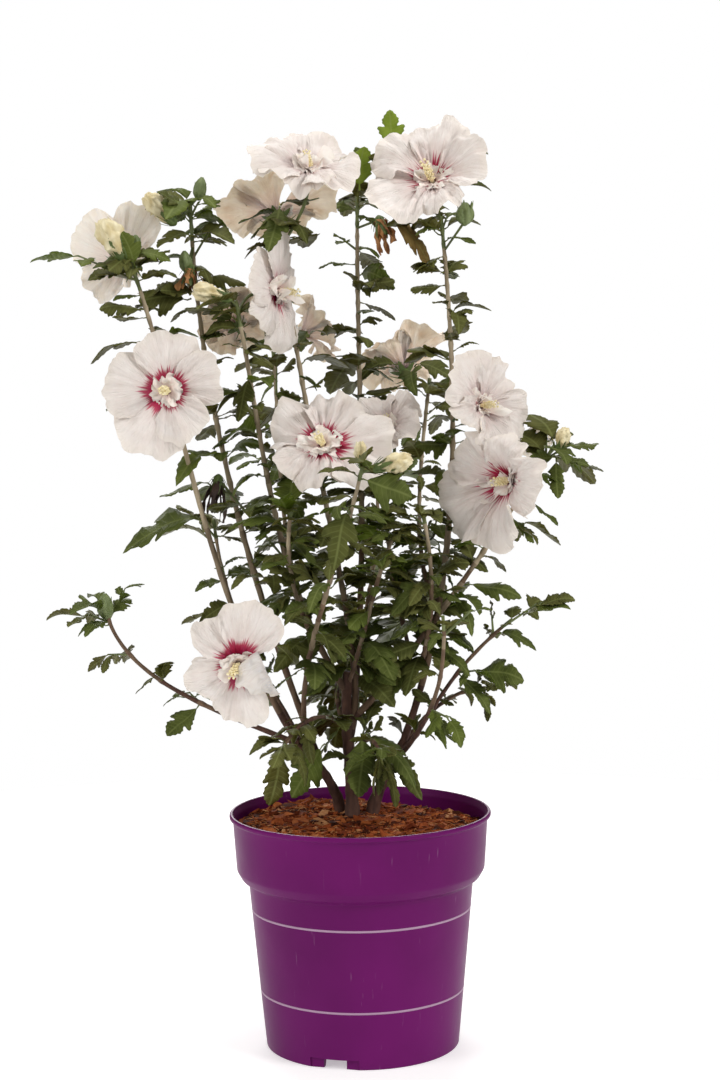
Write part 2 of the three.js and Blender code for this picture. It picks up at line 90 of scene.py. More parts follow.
def curvePoint(points, share):
    rest = 1 - share
    a, b, c, d = points
    return a * rest ** 3 + b * 3 * rest * rest * share + c * 3 * rest * share * share + d * share ** 3


def curveDirection(points, share):
    rest = 1 - share
    a, b, c, d = points
    slope = (b - a) * rest * rest + (c - b) * 2 * rest * share + (d - c) * share * share
    return slope.normalized()


def curveSpots(points, steps):
    return [curvePoint(points, i / steps) for i in range(steps + 1)]


def curveLength(points):
    spots = curveSpots(points, 24)
    return sum((b - a).length for a, b in zip(spots, spots[1:]))


# Meshes are drafted as grids of points, and then made into pieces.
def newDraft():
    return {"points": [], "faces": [], "slots": [], "uv": {}}


# Rows of points, each from the number of its row and its number in the row.
def gridOf(high, wide, spotAt):
    return [[spotAt(r, c) for c in range(wide)] for r in range(high)]


def addGrid(draft, rows, slot=0, closed=False, uv=None):
    first = len(draft["points"])
    width = len(rows[0])
    for row in rows:
        draft["points"].extend(row)
    for r in range(len(rows) - 1):
        for c in range(width if closed else width - 1):
            a = first + r * width + c
            b = first + r * width + (c + 1) % width
            draft["faces"].append((a, b, b + width, a + width))
            draft["slots"].append(slot)
    for name, spots in (uv or {}).items():
        draft["uv"].setdefault(name, {}).update({first + i: spot for i, spot in enumerate(spots)})


def addCap(draft, ring, slot=0):
    first = len(draft["points"])
    draft["points"].extend(ring)
    draft["faces"].append(tuple(range(first, first + len(ring))))
    draft["slots"].append(slot)


# Rings of points joined into a body that is closed at both ends.
def addSolid(draft, rows, slot=0):
    addGrid(draft, rows, slot, closed=True)
    addCap(draft, rows[0][::-1], slot)
    addCap(draft, rows[-1], slot)


def addToScene(name, data):
    thing = bpy.data.objects.new(name, data)
    bpy.context.scene.collection.objects.link(thing)
    return thing


def turnTo(thing, turn):
    thing.rotation_mode = "QUATERNION"
    thing.rotation_quaternion = turn


def makePiece(name, draft, materials, smooth=True):
    mesh = bpy.data.meshes.new(name)
    mesh.from_pydata(draft["points"], [], draft["faces"])
    mesh.polygons.foreach_set("material_index", draft["slots"])
    mesh.polygons.foreach_set("use_smooth", [smooth] * len(draft["faces"]))
    for material in materials:
        mesh.materials.append(material)
    for uvName, spots in draft["uv"].items():
        flat = []
        for loop in mesh.loops:
            flat.extend(spots.get(loop.vertex_index, (0.99, 0.01)))
        mesh.uv_layers.new(name=uvName).data.foreach_set("uv", flat)
    mesh.update()
    piece = addToScene(name, mesh)
    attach(piece, "root")
    return piece


# Merges the points that share a place, such as a blade's tip.
def weld(mesh):
    work = bmesh.new()
    work.from_mesh(mesh)
    bmesh.ops.remove_doubles(work, verts=work.verts, dist=1e-6)
    bmesh.ops.dissolve_degenerate(work, edges=work.edges, dist=1e-7)
    work.to_mesh(mesh)
    work.free()


# A tube along a line of spots, with one slot for the whole or one for each band between two rings.
def addTube(draft, spots, radii, sides, slots=0, rough=0.0, seed=0.0):
    side = across((spots[1] - spots[0]).normalized())
    rows = []
    for i, spot in enumerate(spots):
        along = (spots[min(i + 1, len(spots) - 1)] - spots[max(i - 1, 0)]).normalized()
        side = (side - along * side.dot(along)).normalized()
        other = along.cross(side)
        row = []
        for k in range(sides):
            angle = fullTurn * k / sides
            relief = noise.noise(around(angle, 1.6, seed + i * 0.35)) if rough else 0
            x, y = circleSpot(angle, radii[i] * (1 + rough * relief))
            row.append(spot + side * x + other * y)
        rows.append(row)
    if isinstance(slots, int):
        addSolid(draft, rows, slots)
        return
    for i, slot in enumerate(slots):
        addGrid(draft, rows[i:i + 2], slot, closed=True)
    addCap(draft, rows[0][::-1], slots[0])
    addCap(draft, rows[-1], slots[-1])


# Gives an input its value: a number, a colour or what comes out of another node.
def feed(tree, socket, value):
    if isinstance(value, bpy.types.NodeSocket):
        tree.links.new(value, socket)
    elif value is not None:
        socket.default_value = (*value, 1) if socket.type == "RGBA" else value


# Makes a node. Each setting is for the input of that name, or for the node itself.
def addNode(tree, kind, settings):
    node = tree.nodes.new(kind)
    for key, value in settings.items():
        if key in node.inputs:
            feed(tree, node.inputs[key], value)
        else:
            setattr(node, key, value)
    return node


def newMaterial(name, settings):
    material = bpy.data.materials.new(name)
    material.use_nodes = True
    tree = material.node_tree
    shader = tree.nodes["Principled BSDF"]
    for key, value in settings.items():
        feed(tree, shader.inputs[key], value)
    return material, tree, shader


def noiseNode(tree, where, scale, detail=3.0):
    settings = {"Vector": where, "Scale": scale, "Detail": detail}
    return addNode(tree, "ShaderNodeTexNoise", settings).outputs["Fac"]


def rampNode(tree, factor, stops):
    ramp = addNode(tree, "ShaderNodeValToRGB", {"Fac": factor})
    elements = ramp.color_ramp.elements
    while len(elements) < len(stops):
        elements.new(0.5)
    for element, (position, color) in zip(elements, stops):
        element.position = position
        element.color = (*color, 1)
    return ramp.outputs["Color"]


def bumpNode(tree, shader, height, strength, distance):
    bump = addNode(tree, "ShaderNodeBump", {"Height": height, "Strength": strength, "Distance": distance})
    feed(tree, shader.inputs["Normal"], bump.outputs["Normal"])


def mathNode(tree, operation, a, b=None):
    node = addNode(tree, "ShaderNodeMath", {"operation": operation})
    feed(tree, node.inputs[0], a)
    feed(tree, node.inputs[1], b)
    return node.outputs[0]


def mixNode(tree, factor, a, b):
    node = addNode(tree, "ShaderNodeMix", {"data_type": "RGBA"})
    for socket, value in zip([socket for socket in node.inputs if socket.enabled], (factor, a, b)):
        feed(tree, socket, value)
    return next(socket for socket in node.outputs if socket.enabled)


# From the least at one limit of a value to the most at the other.
def fadeNode(tree, value, start, end, most=1.0, least=0.0):
    settings = {"Value": value, "From Min": start, "From Max": end, "To Min": least, "To Max": most}
    return addNode(tree, "ShaderNodeMapRange", settings).outputs["Result"]


# The two numbers of a UV map.
def mapCoordinates(tree, name):
    source = addNode(tree, "ShaderNodeUVMap", {"uv_map": name})
    parts = addNode(tree, "ShaderNodeSeparateXYZ", {"Vector": source.outputs["UV"]})
    return parts.outputs["X"], parts.outputs["Y"]


def objectCoordinates(tree, stretch=(1, 1, 1)):
    source = tree.nodes.new("ShaderNodeTexCoord")
    mapping = addNode(tree, "ShaderNodeMapping", {"Vector": source.outputs["Object"], "Scale": stretch})
    return mapping.outputs["Vector"]


def mottled(name, tones, roughness, scale, bump, depth=0.0004, stretch=(1, 1, 1), shine=0.5):
    dark, light = tones
    settings = {"Base Color": light, "Roughness": roughness, "Specular IOR Level": shine}
    material, tree, shader = newMaterial(name, settings)
    where = objectCoordinates(tree, stretch)
    color = rampNode(tree, noiseNode(tree, where, scale), [(0.3, dark), (0.7, light)])
    feed(tree, shader.inputs["Base Color"], color)
    bumpNode(tree, shader, noiseNode(tree, where, scale * 3), bump, depth)
    return material


cameraSettings = {
    "place": (0.0032, -2.02, 0.63),
    "pitch": 4.85,  # degrees down from level
    "roll": -0.75,
    "lens": 75.4,
}

studioSettings = {
    "backdrop": (1.0, 1.0, 1.0),
    "backdropGlow": 1.0,
    "ambient": 0.27,
    "ambientTint": (1.0, 0.93, 0.84),
    "floorRadius": 1.3,
    "floorSides": 96,
    "floorGlow": 0.42,
    "lights": {  # place, size and power
        "key": ((2.0, -1.3, 1.8), 1.2, 42.0),
        "fill": ((-2.1, -1.2, 1.5), 1.4, 27.0),
        "top": ((-0.2, 0.3, 2.6), 1.2, 20.0),
        "front": ((0.2, -2.7, 1.2), 1.8, 9.0),
        "back": ((-0.3, 2.4, 1.3), 1.8, 34.0),
    },
    "aim": (0.0, 0.0, 0.45),  # where the lights point
}


def makeCamera():
    data = bpy.data.cameras.new("camera")
    data.lens = cameraSettings["lens"]
    camera = addToScene("camera", data)
    camera.location = cameraSettings["place"]
    tilt = Quaternion((1, 0, 0), math.radians(90 - cameraSettings["pitch"]))
    turnTo(camera, tilt @ Quaternion((0, 0, 1), math.radians(cameraSettings["roll"])))
    bpy.context.scene.camera = camera


def makeSoftLight(name, spot, size, power):
    data = bpy.data.lights.new(name + "Light", "AREA")
    data.shape = "DISK"
    data.size = size
    data.energy = power
    lamp = addToScene(name + "Light", data)
    lamp.location = spot
    turnTo(lamp, (Vector(studioSettings["aim"]) - lamp.location).to_track_quat("-Z", "Y"))


# The backdrop shows white, but lights the plant more softly.
def makeBackdrop():
    world = bpy.data.worlds.new("studio")
    bpy.context.scene.world = world
    world.use_nodes = True
    tree = world.node_tree
    background = tree.nodes["Background"]
    seen = tree.nodes.new("ShaderNodeLightPath").outputs["Is Camera Ray"]
    tint = mixNode(tree, seen, studioSettings["ambientTint"], studioSettings["backdrop"])
    glow = fadeNode(tree, seen, 0, 1, studioSettings["backdropGlow"], studioSettings["ambient"])
    feed(tree, background.inputs["Color"], tint)
    feed(tree, background.inputs["Strength"], glow)


def makeFloor():
    mesh = bpy.data.meshes.new("floor")
    sides = studioSettings["floorSides"]
    ring = [around(fullTurn * i / sides, studioSettings["floorRadius"]) for i in range(sides)]
    mesh.from_pydata(ring, [], [tuple(range(sides))])
    settings = {
        "Base Color": (0.8, 0.8, 0.8), "Roughness": 0.9, "Emission Color": (1, 1, 1),
        "Emission Strength": studioSettings["floorGlow"],
    }
    mesh.materials.append(newMaterial("paleFloor", settings)[0])
    floor = addToScene("floor", mesh)


makeCamera()
makeBackdrop()
for name, light in studioSettings["lights"].items():
    makeSoftLight(name, *light)
makeFloor()
bpy.context.scene.view_settings.view_transform = "Standard"
print("camera and studio ready")

# The plant's plan, in millimetres. Main stems rise from the soil. Each: radius at the foot and at the tip,
# and its curve's four points: foot, two that the curve bends towards, tip.
trunks = [
    (5, 3.6, [(-16, 13, 198), (-20, 4, 245), (-40, -3, 256), (-62, -6, 280)]),
    (6.2, 4.2, [(-7, -4, 198), (-6, 0, 256), (-14, 0, 299), (-9, 0, 340)]),
    (5.8, 4.2, [(8, 2, 198), (16, 2, 238), (30, 2, 254), (41, 3, 276)]),
]

# Canes grow from a main stem or from another cane. Each: name, share of its length below the leaves, leaf
# spacing, radius, and its curve's four points. A spacing of 0 is the usual one.
canes = [
    ("far_left", 0.7, 0, 3.3, [(-55, -5, 276), (-136, -13, 410), (-147, -27, 567), (-195, -40, 713)]),
    ("left", 0.3, 0, 3.3, [(-36, -1, 259), (-99, 3, 426), (-140, 6, 590), (-144, 10, 763)]),
    ("middle_left", 0.22, 0, 3.2, [(-11, 0, 322), (-78, -12, 427), (-81, -21, 558), (-103, -30, 673)]),
    ("middle", 0.26, 0, 3.4, [(-9, 0, 278), (18, 5, 345), (-54, 20, 560), (-63, 30, 738)]),
    ("right", 0.3, 0, 3.6, [(38, 3, 270), (96, 6, 418), (94, 13, 587), (79, 20, 750)]),
    ("rear_middle", 0.25, 0, 3.2, [(-3, 4, 318), (12, 38, 474), (1, 65, 625), (5, 90, 771)]),
    ("rear_left", 0.3, 0, 2.6, [(-36, -6, 360), (-75, 50, 437), (-68, 91, 538), (-77, 120, 634)]),
    ("leaning_right", 0.3, 0, 3.3, [(-4, 1, 297), (56, -15, 362), (117, -22, 455), (176, -30, 543)]),
    ("front", 0.28, 0, 2.8, [(-40, -3, 262), (-72, -24, 326), (-10, -110, 450), (7, -120, 536)]),
    ("right_side", 0.3, 0, 2.4, [(33, 2, 262), (66, -16, 294), (72, -8, 335), (138, -20, 388)]),
    ("left_side", 0.3, 0, 2.6, [(-58, -6, 277), (-120, -12, 306), (-214, -15, 334), (-225, -20, 406)]),
    ("front_right", 0.25, 0, 2.6, [(24, 2, 248), (48, -50, 285), (78, -112, 325), (72, -132, 405)]),
    ("back", 0.25, 0, 2.8, [(-11, 0, 305), (0, 60, 360), (25, 130, 420), (20, 165, 520)]),
    ("back_left", 0.25, 0, 2.5, [(-46, -4, 266), (-80, 60, 318), (-125, 100, 370), (-135, 115, 470)]),
    ("rear_right", 0, 0, 2.1, [(71, 8, 402), (48, 60, 430), (62, 125, 530), (72, 150, 600)]),
    ("inner", 0, 0, 2, [(45, -8, 364), (36, 30, 405), (25, 45, 455), (26, 38, 512)]),
    ("low_front_left", 0, 22, 2, [(-10, 0, 284), (-26, -30, 314), (-52, -64, 312), (-68, -84, 282)]),
    ("low_front", 0, 22, 2, [(-7, -1, 250), (0, -28, 284), (12, -62, 300), (20, -88, 276)]),
    ("low_right", 0, 22, 2, [(34, 3, 264), (60, 26, 300), (92, 34, 322), (122, 30, 318)]),
    ("low_back", 0, 22, 2, [(-12, 0, 286), (-26, 34, 320), (-20, 76, 336), (-4, 106, 322)]),
    ("heart", 0, 26, 2, [(-9, 0, 328), (6, -26, 372), (14, -44, 424), (34, -52, 470)]),
    ("heart_left", 0, 28, 2, [(-36, -6, 362), (-52, -34, 400), (-66, -50, 440), (-56, -56, 492)]),
    ("heart_right", 0, 28, 2, [(56, -3, 345), (66, -36, 380), (70, -52, 430), (58, -58, 486)]),
]
usualSpacing = 38
caneTipRadius = 1.5

# Each bloom: its name, its cane and where its twig leaves it, throat, facing, radius, the degrees at which
# its five petals stand, the kind of its crimson eye, the size of its tuft, how wavy it is, and what else sets
# it apart.
blooms = [
    ("far_left_away", "far_left", 0.955, (-199, -2, 708), (-0.35, 0.9, 0.1), 50, (38, 106, 172, 245, 322),
     "soft", 0.5, 0.08, {"spread": 0.9, "lengths": (1.15, 1.12, 0.8, 0.75, 0.9),
      "notches": (0.3, 0.5, 0.4, 0.4, 0.3), "raised": {2: 35, 3: 40}}),
    ("far_left_open", "far_left", 0.6, (-162, -58, 595), (0.02, -0.99, 0.08), 54, (86, 170, 243, 297, 20),
     "strong", 0.72, 0.06, {"bowl": 0.16, "lengths": (1.0, 1.04, 1.12, 0.88, 1.0),
      "notches": (0.25, 0.3, 0.25, 0.3, 0.4)}),
    ("left_low", "far_left", 0.17, (-103, -84, 360), (-0.08, -0.98, -0.14), 55, (122, 202, 275, 352, 70),
     "strong", 0.8, 0.08, {"bowl": 0.2, "lengths": (0.98, 0.9, 1.0, 0.93, 1.14),
      "notches": (0.35, 0.3, 0.35, 0.4, 0.45), "spread": 0.83, "raised": {3: 12},
      "folded": {3: (0.48, 29, 150)}}),
    ("top_left", "middle", 0.975, (-37, -8, 786), (0.08, -0.58, 0.8), 47, (58, 142, 192, 256, 308),
     "soft", 1.1, 0.14, {"bowl": 0.2, "crumple": 1.4, "lengths": (1.04, 1.25, 1.05, 0.85, 1.1),
      "notches": (0.3, 0.2, 0.3, 0.2, 0.2), "spread": 1.12, "raised": {1: 10}}),
    ("top_left_away", "middle", 0.93, (-68, 58, 751), (-0.1, 0.62, 0.78), 50, (52, 162, 224, 282, 350),
     "shadedTan", 0.5, 0.1, {"crumple": 1.4, "lengths": (0.95, 1.12, 0.85, 0.85, 1.16)}),
    ("left_edge_on", "middle_left", 0.97, (-69, -2, 681), (0.9, -0.43, 0.03), 50, (90, 158, 222, 288, 14),
     "rays", 1.0, 0.06, {"bowl": 0.1, "crumple": 0.7, "lengths": (1.08, 1.0, 0.95, 1.16, 0.85),
      "notches": (0.3, 0.2, 0.2, 0.3, 0.2)}),
    ("inner_left_away", "middle_left", 0.9, (-106, 24, 652), (-0.4, 0.8, 0.35), 35, (0, 72, 144, 216, 288),
     "shadedTan", 0.5, 0.12, {"crumple": 1.5}),
    ("rear_left_away", "rear_left", 0.97, (-50, 118, 643), (0.86, 0.36, 0.36), 36, (60, 132, 204, 276, 348),
     "shadedTan", 0.5, 0.12, {"bowl": 0.6, "crumple": 1.2}),
    ("centre", "middle", 0.58, (-28, -50, 545), (-0.2, -0.8, 0.56), 55, (72, 144, 206, 270, 346),
     "strong", 0.95, 0.18, {"bowl": 0.22, "crumple": 1.8, "lengths": (0.96, 0.98, 0.8, 0.88, 1.22),
      "notches": (0.25, 0.2, 0.4, 0.4, 0.3)}),
    ("centre_small", "inner", 0.97, (30, -22, 560), (-0.25, -0.75, 0.6), 34, (55, 127, 199, 271, 343),
     "soft", 0.8, 0.16, {"crumple": 1.6}),
    ("rear_right_away", "rear_right", 0.97, (47, 132, 609), (-0.2, 0.66, 0.7), 46, (50, 122, 200, 270, 352),
     "shadedTan", 0.5, 0.14, {"crumple": 1.5, "lengths": (0.95, 1.1, 0.8, 0.8, 1.0)}),
    ("top_right", "right", 0.975, (71, -14, 774), (-0.15, -0.84, 0.52), 55, (80, 146, 216, 288, 10),
     "rays", 1.15, 0.13, {"bowl": 0.42, "crumple": 1.8, "lengths": (1.02, 0.98, 1.16, 0.9, 0.95),
      "notches": (0.55, 0.25, 0.25, 0.3, 0.45)}),
    ("right_open", "right", 0.62, (109, -34, 578), (0.6, -0.77, 0.15), 46, (60, 131, 203, 272, 338),
     "soft", 1.05, 0.13, {"bowl": 0.34, "crumple": 1.6, "lengths": (0.98, 1.14, 0.84, 0.95, 1.1),
      "notches": (0.3, 0.25, 0.35, 0.4, 0.5)}),
    ("right_low_open", "leaning_right", 0.8, (136, -50, 513), (-0.68, -0.7, 0.06), 56,
     (68, 146, 212, 268, 354), "rays", 1.15, 0.1, {"bowl": 0.5, "crumple": 1.5,
      "lengths": (0.76, 0.98, 1.22, 1.08, 1.0), "notches": (0.35, 0.35, 0.25, 0.4, 0.3), "spread": 0.97}),
    ("right_tip_away", "leaning_right", 0.93, (164, 6, 543), (-0.35, 0.7, 0.6), 20, (0, 72, 144, 216, 288),
     "soft", 0.3, 0.1, {}),
]
usualBloom = {
    "spread": 1,
    "bowl": 0.3,  # height of the rim, as a share of the radius
    "crumple": 1,
    "lengths": (1,) * 5,
    "notches": (0.25,) * 5,
    "raised": {},  # petals bent forward at the throat, in degrees
    "folded": {},  # petals turned back on themselves: where, slant and turn
}

# Closed buds (green), furled or spent blooms (cream) and withered ones (withered and rusty). Each: its cane
# and where its twig leaves it, base, where it points, length, radius and kind.
buds = [
    ("far_left", 0.98, (-196, -48, 706), (-0.42, -0.25, 0.8), 36, 13, "cream"),
    ("far_left", 0.99, (-190, -34, 716), (0.1, -0.2, 0.9), 15, 5.5, "green"),
    ("left", 0.985, (-156, -8, 741), (-0.7, -0.2, 0.7), 32, 9.5, "cream"),
    ("left", 0.99, (-136, 4, 764), (0.2, -0.1, 0.97), 19, 6, "green"),
    ("middle_left", 0.985, (-106, -40, 674), (-0.95, -0.2, 0.25), 30, 9, "cream"),
    ("middle_left", 0.35, (-122, -10, 518), (-0.1, -0.2, -1), 36, 10, "withered"),
    ("left", 0.92, (-147, -4, 700), (-0.1, -0.15, 1), 18, 6, "green"),
    ("left", 0.92, (-143, -6, 704), (-0.1, -0.2, -0.95), 22, 11, "rusty"),
    ("front", 0.985, (6, -118, 529), (-0.1, -0.1, 0.99), 20, 6, "cream"),
    ("front", 0.96, (15, -116, 528), (0.94, -0.15, 0.28), 30, 9, "cream"),
    ("leaning_right", 0.985, (178, -34, 537), (0.3, -0.15, 0.92), 19, 7, "cream"),
    ("right", 0.93, (100, 12, 739), (0.05, 0, 1), 19, 8.5, "green"),
    ("left_side", 0.985, (-224, -20, 394), (0, -0.1, 1), 22, 7.5, "green"),
    ("rear_middle", 0.93, (24, 54, 748), (0.25, -0.25, -0.95), 34, 11, "rusty"),
]

# Twigs that reach further than the rule's. Each: its cane and where it leaves it, end and leaf length.
farTwigs = [
    ("far_left", 0.95, (-238, -48, 713), 46),
    ("right_side", 0.95, (160, -18, 401), 40),
    ("left_side", 0.92, (-241, -15, 397), 40),
    ("leaning_right", 0.95, (185, -28, 541), 34),
    ("right", 0.985, (50, 24, 784), 48),
    ("rear_middle", 0.985, (6, 88, 788), 36),
]

growth = {
    "pairSpacing": 6,
    "twigShare": 0.33,
    "twigLength": 24,
    "twigLeaves": ((0.95, 0, 0.95), (0.8, 1.2, 0.75), (0.6, -1.2, 0.75)),  # place, turn and size
    "swings": (0, 0.8, -0.8),  # turns to try when a bloom is in a spray's way
    "rosette": 4,
    "rosetteSpacing": 6,
    "leafLength": 58,
    "youngLength": 38,
    "leafShare": 0.84,  # the solids' leaves stand for more than one leaf each
    "smallLeaved": {
        "low_right": 0.5, "front_right": 0.62, "right_side": 0.55, "left_side": 0.7, "low_front": 0.75,
        "low_front_left": 0.85,
    },
    "droopShare": 0.5,
    "fineShare": 0.68,  # size of the leaves that stand between the plan's nodes
    "highShare": 0.88,
    "fineLeaves": (2, 6, 4),  # at each node: low down outside the core, within it, and high up
    "denseTop": 0.53,  # metres above the ground
    "coreRadius": 0.08,
    "cupShare": 0.19,  # size of a bloom's cup, as a share of its radius
    "cupLimit": 0.0095,
    "cupDepth": 1.55,  # from the throat back to the cup's foot, in sizes of the cup
    "budRoom": 0.4,  # the room that leaves keep from a bud, as a share of its length
}


def readyCane(name, bare, spacing, radius, points):
    points = [place(point) for point in points]
    return {
        "name": name, "bare": bare, "spacing": (spacing or usualSpacing) * mm, "radius": radius,
        "points": points, "length": curveLength(points), "nodes": [],
        "leafSize": growth["smallLeaved"].get(name, 1),
    }


def readyBloom(name, cane, at, throat, faces, radius, aims, eye, tuft, wave, more):
    return {
        **usualBloom, "name": name, "cane": cane, "at": at, "aims": aims, "eye": eye, "tuft": tuft,
        "wave": wave, "middle": place(throat), "facing": pointing(faces), "reach": radius * mm,
        "cup": min(radius * mm * growth["cupShare"], growth["cupLimit"]), **more,
    }


def readyBud(cane, at, base, points, length, radius, kind):
    along = pointing(points)
    return {
        "cane": cane, "at": at, "base": place(base), "along": along, "length": length * mm,
        "radius": radius * mm, "kind": kind, "middle": place(base) + along * (0.6 * length * mm),
        "room": length * growth["budRoom"] * mm,
    }


canes = [readyCane(*row) for row in canes]
blooms = [readyBloom(*row) for row in blooms]
buds = [readyBud(*row) for row in buds]
caneCurves = {cane["name"]: cane["points"] for cane in canes}
found = {"leaves": [], "twigs": []}


def leafSpot(leaf, share):
    along = leaf["length"] * share
    return leaf["root"] + leaf["out"] * along - upward * (leaf["droop"] * along * along / leaf["length"])


# Whether a leaf keeps out of every bloom's bowl and away from every bud.
def clearOfBlooms(leaf):
    for share in (0.35, 0.65, 1.0):
        spot = leafSpot(leaf, share)
        for bloom in blooms:
            away = spot - bloom["middle"]
            height = away.dot(bloom["facing"])
            radial = (away - bloom["facing"] * height).length
            if radial < bloom["reach"] and -0.004 < height < bloom["reach"] * 0.8:
                return False
        for bud in buds:
            if (spot - bud["middle"]).length < bud["room"]:
                return False
    return True


# Adds a leaf unless a bloom or bud is in its way, and says whether it did.
def growLeaf(root, out, length, roll, looks):
    leaf = {"root": root, "out": out, "length": length, "roll": roll, **looks}
    clear = clearOfBlooms(leaf)
    if clear:
        found["leaves"].append(leaf)
    return clear


def usualLength(age):
    return growth["youngLength"] + (growth["leafLength"] - growth["youngLength"]) * age


# One spray at a node of a cane: a leaf with a smaller one beside it, or a short twig with three leaves.
def growSpray(cane, number, node, share, swing):
    root = curvePoint(cane["points"], share)
    along = curveDirection(cane["points"], share)
    side = across(along)
    other = side.cross(along)
    draws = chances(number, node, 7)
    angle = node * nextTurn + (draws[3] - 0.5) * 0.8 + swing

    def outward(turn, rise):
        level = side * math.cos(angle + turn) + other * math.sin(angle + turn)
        return level * math.cos(rise) + along * math.sin(rise)

    age = (1 - share) / (1 - cane["bare"])
    length = usualLength(age) * (0.85 + 0.3 * draws[4]) * growth["leafShare"] * mm * cane["leafSize"]
    looks = {"droop": (0.3 + 0.5 * draws[5]) * growth["droopShare"], "age": age, "spray": (number, node)}
    roll = (draws[6] - 0.5) * 0.9
    if draws[1] < growth["twigShare"]:
        end = root + outward(0, 0.65) * (growth["twigLength"] * mm * (0.7 + 0.8 * draws[2]))
        return growTwig(root, end, length, roll, looks)
    if not growLeaf(root, outward(0, 0.5), length, roll, looks):
        return False
    higher = min(share + growth["pairSpacing"] * mm / cane["length"], 1)
    growLeaf(curvePoint(cane["points"], higher), outward(2.1, 0.6), length * 0.65, -roll, looks)
    return True


def growTwig(root, end, length, roll, looks):
    reach = (end - root).normalized()
    grown = False
    for at, turn, size in growth["twigLeaves"]:
        out = (turnedAbout(reach, upward, turn) - upward * 0.3).normalized()
        grown = growLeaf(root.lerp(end, at), out, length * size, roll * size, looks) or grown
    if grown:
        found["twigs"].append((root, end))
    return grown


# Smaller leaves round each node and between it and the next, which the solids leave out.
def growFineLeaves(cane, number, node, share):
    few, many, above = growth["fineLeaves"]
    spot = curvePoint(cane["points"], share)
    high = spot.z > growth["denseTop"]
    count = above if high else many if math.hypot(spot.x, spot.y) < growth["coreRadius"] else few
    if cane["leafSize"] < 1:
        count = 1
    for i in range(count):
        draws = chances(number + 0.37, node + 0.19 * i, 6)
        at = share + cane["spacing"] / cane["length"] * (i % 3) * 0.34 + 0.004 * (draws[0] - 0.5)
        at = min(at, 0.99)
        along = curveDirection(cane["points"], at)
        out = turnedAbout(across(along), along, node * nextTurn + 1.1 + i * 2.2 + draws[1])
        out = (out + along * (0.05 + 0.45 * draws[2])).normalized()
        age = (1 - at) / (1 - cane["bare"])
        size = usualLength(age) * growth["highShare" if high else "fineShare"]
        size *= (0.7 + 0.6 * draws[3]) * mm
        looks = {"droop": 0.05 + 0.45 * draws[4], "age": age, "spray": (number, node + 0.5 * i)}
        growLeaf(curvePoint(cane["points"], at), out, size, draws[5] - 0.5, looks)
        if i in (1, 2):
            cane["nodes"].append(at)


# The leaves close together at a cane's tip.
def growRosette(cane, number):
    for i in range(growth["rosette"]):
        share = 0.995 - i * growth["rosetteSpacing"] * mm / cane["length"]
        along = curveDirection(cane["points"], share)
        out = turnedAbout(across(along), along, i * nextTurn + chance(number, 90, i))
        out = (out + along * (0.3 + 0.6 * chance(number, 91, i))).normalized()
        size = growth["youngLength"] * (0.9 + 0.65 * chance(number, 92, i)) * mm * cane["leafSize"]
        looks = {"droop": 0.25, "age": 0.0, "spray": (number, 93)}
        growLeaf(curvePoint(cane["points"], share), out, size, 0, looks)


def growCane(cane, number):
    for name, at, end, length in farTwigs:
        if name == cane["name"]:
            looks = {"droop": 0.2, "age": 0.2, "spray": (number, 80)}
            growTwig(curvePoint(cane["points"], at), place(end), length * mm, 0.5, looks)
    nodes = round(cane["length"] * (1 - cane["bare"]) / cane["spacing"])
    for node in range(nodes):
        share = cane["bare"] + (1 - cane["bare"]) * (node + 0.6) / nodes
        cane["nodes"].append(share)
        for swing in growth["swings"]:
            if growSpray(cane, number, node, share, swing):
                break
        growFineLeaves(cane, number, node, share)
    growRosette(cane, number)


for number, cane in enumerate(canes):
    growCane(cane, number)
print("plan grown:", len(found["leaves"]), "leaves and", len(found["twigs"]), "twigs")

# Stems and canes, with the bark's relief and swollen nodes.
stemSettings = {
    "sides": 12,
    "step": 4,  # millimetres between the rings
    "relief": 0.16,
    "swelling": 0.32,
    "swellingLength": 2.6,
    "trunkSides": 18,
    "trunkRelief": 0.22,
    "trunkFoot": 0.3,  # how much wider the foot is
    "twigRadii": (0.0013, 0.0011, 0.0008),
    "budTwigRadii": (0.0012, 0.0012, 0.0014),
    "redBrown": ((0.034, 0.013, 0.008), (0.11, 0.048, 0.03)),
    "brown": ((0.08, 0.045, 0.026), (0.185, 0.115, 0.068)),
    "fawn": ((0.15, 0.11, 0.068), (0.3, 0.23, 0.15)),
    "tan": ((0.24, 0.19, 0.12), (0.44, 0.36, 0.245)),
    "green": ((0.075, 0.1, 0.03), (0.17, 0.2, 0.07)),
    "greenAbove": 0.93,  # share of a cane's length
}
woodTones = ("redBrown", "brown", "fawn", "tan")
youngShoot = len(woodTones)


def stemMaterials():
    woods = [
        mottled("bark_" + tone, stemSettings[tone], 0.8, 160, 0.5, depth=0.0006, stretch=(1, 1, 0.3))
        for tone in woodTones
    ]
    return woods + [mottled("young_shoot", stemSettings["green"], 0.55, 90, 0.2)]


# Bark is redder low down and paler high up, and a cane's tip is green.
def stemTone(height, share, draw):
    if share > stemSettings["greenAbove"]:
        return youngShoot
    warmth = (height - 0.24) / 0.22 + (draw - 0.5) * 0.5
    return sum(warmth > limit for limit in (0.35, 0.75, 1.1))


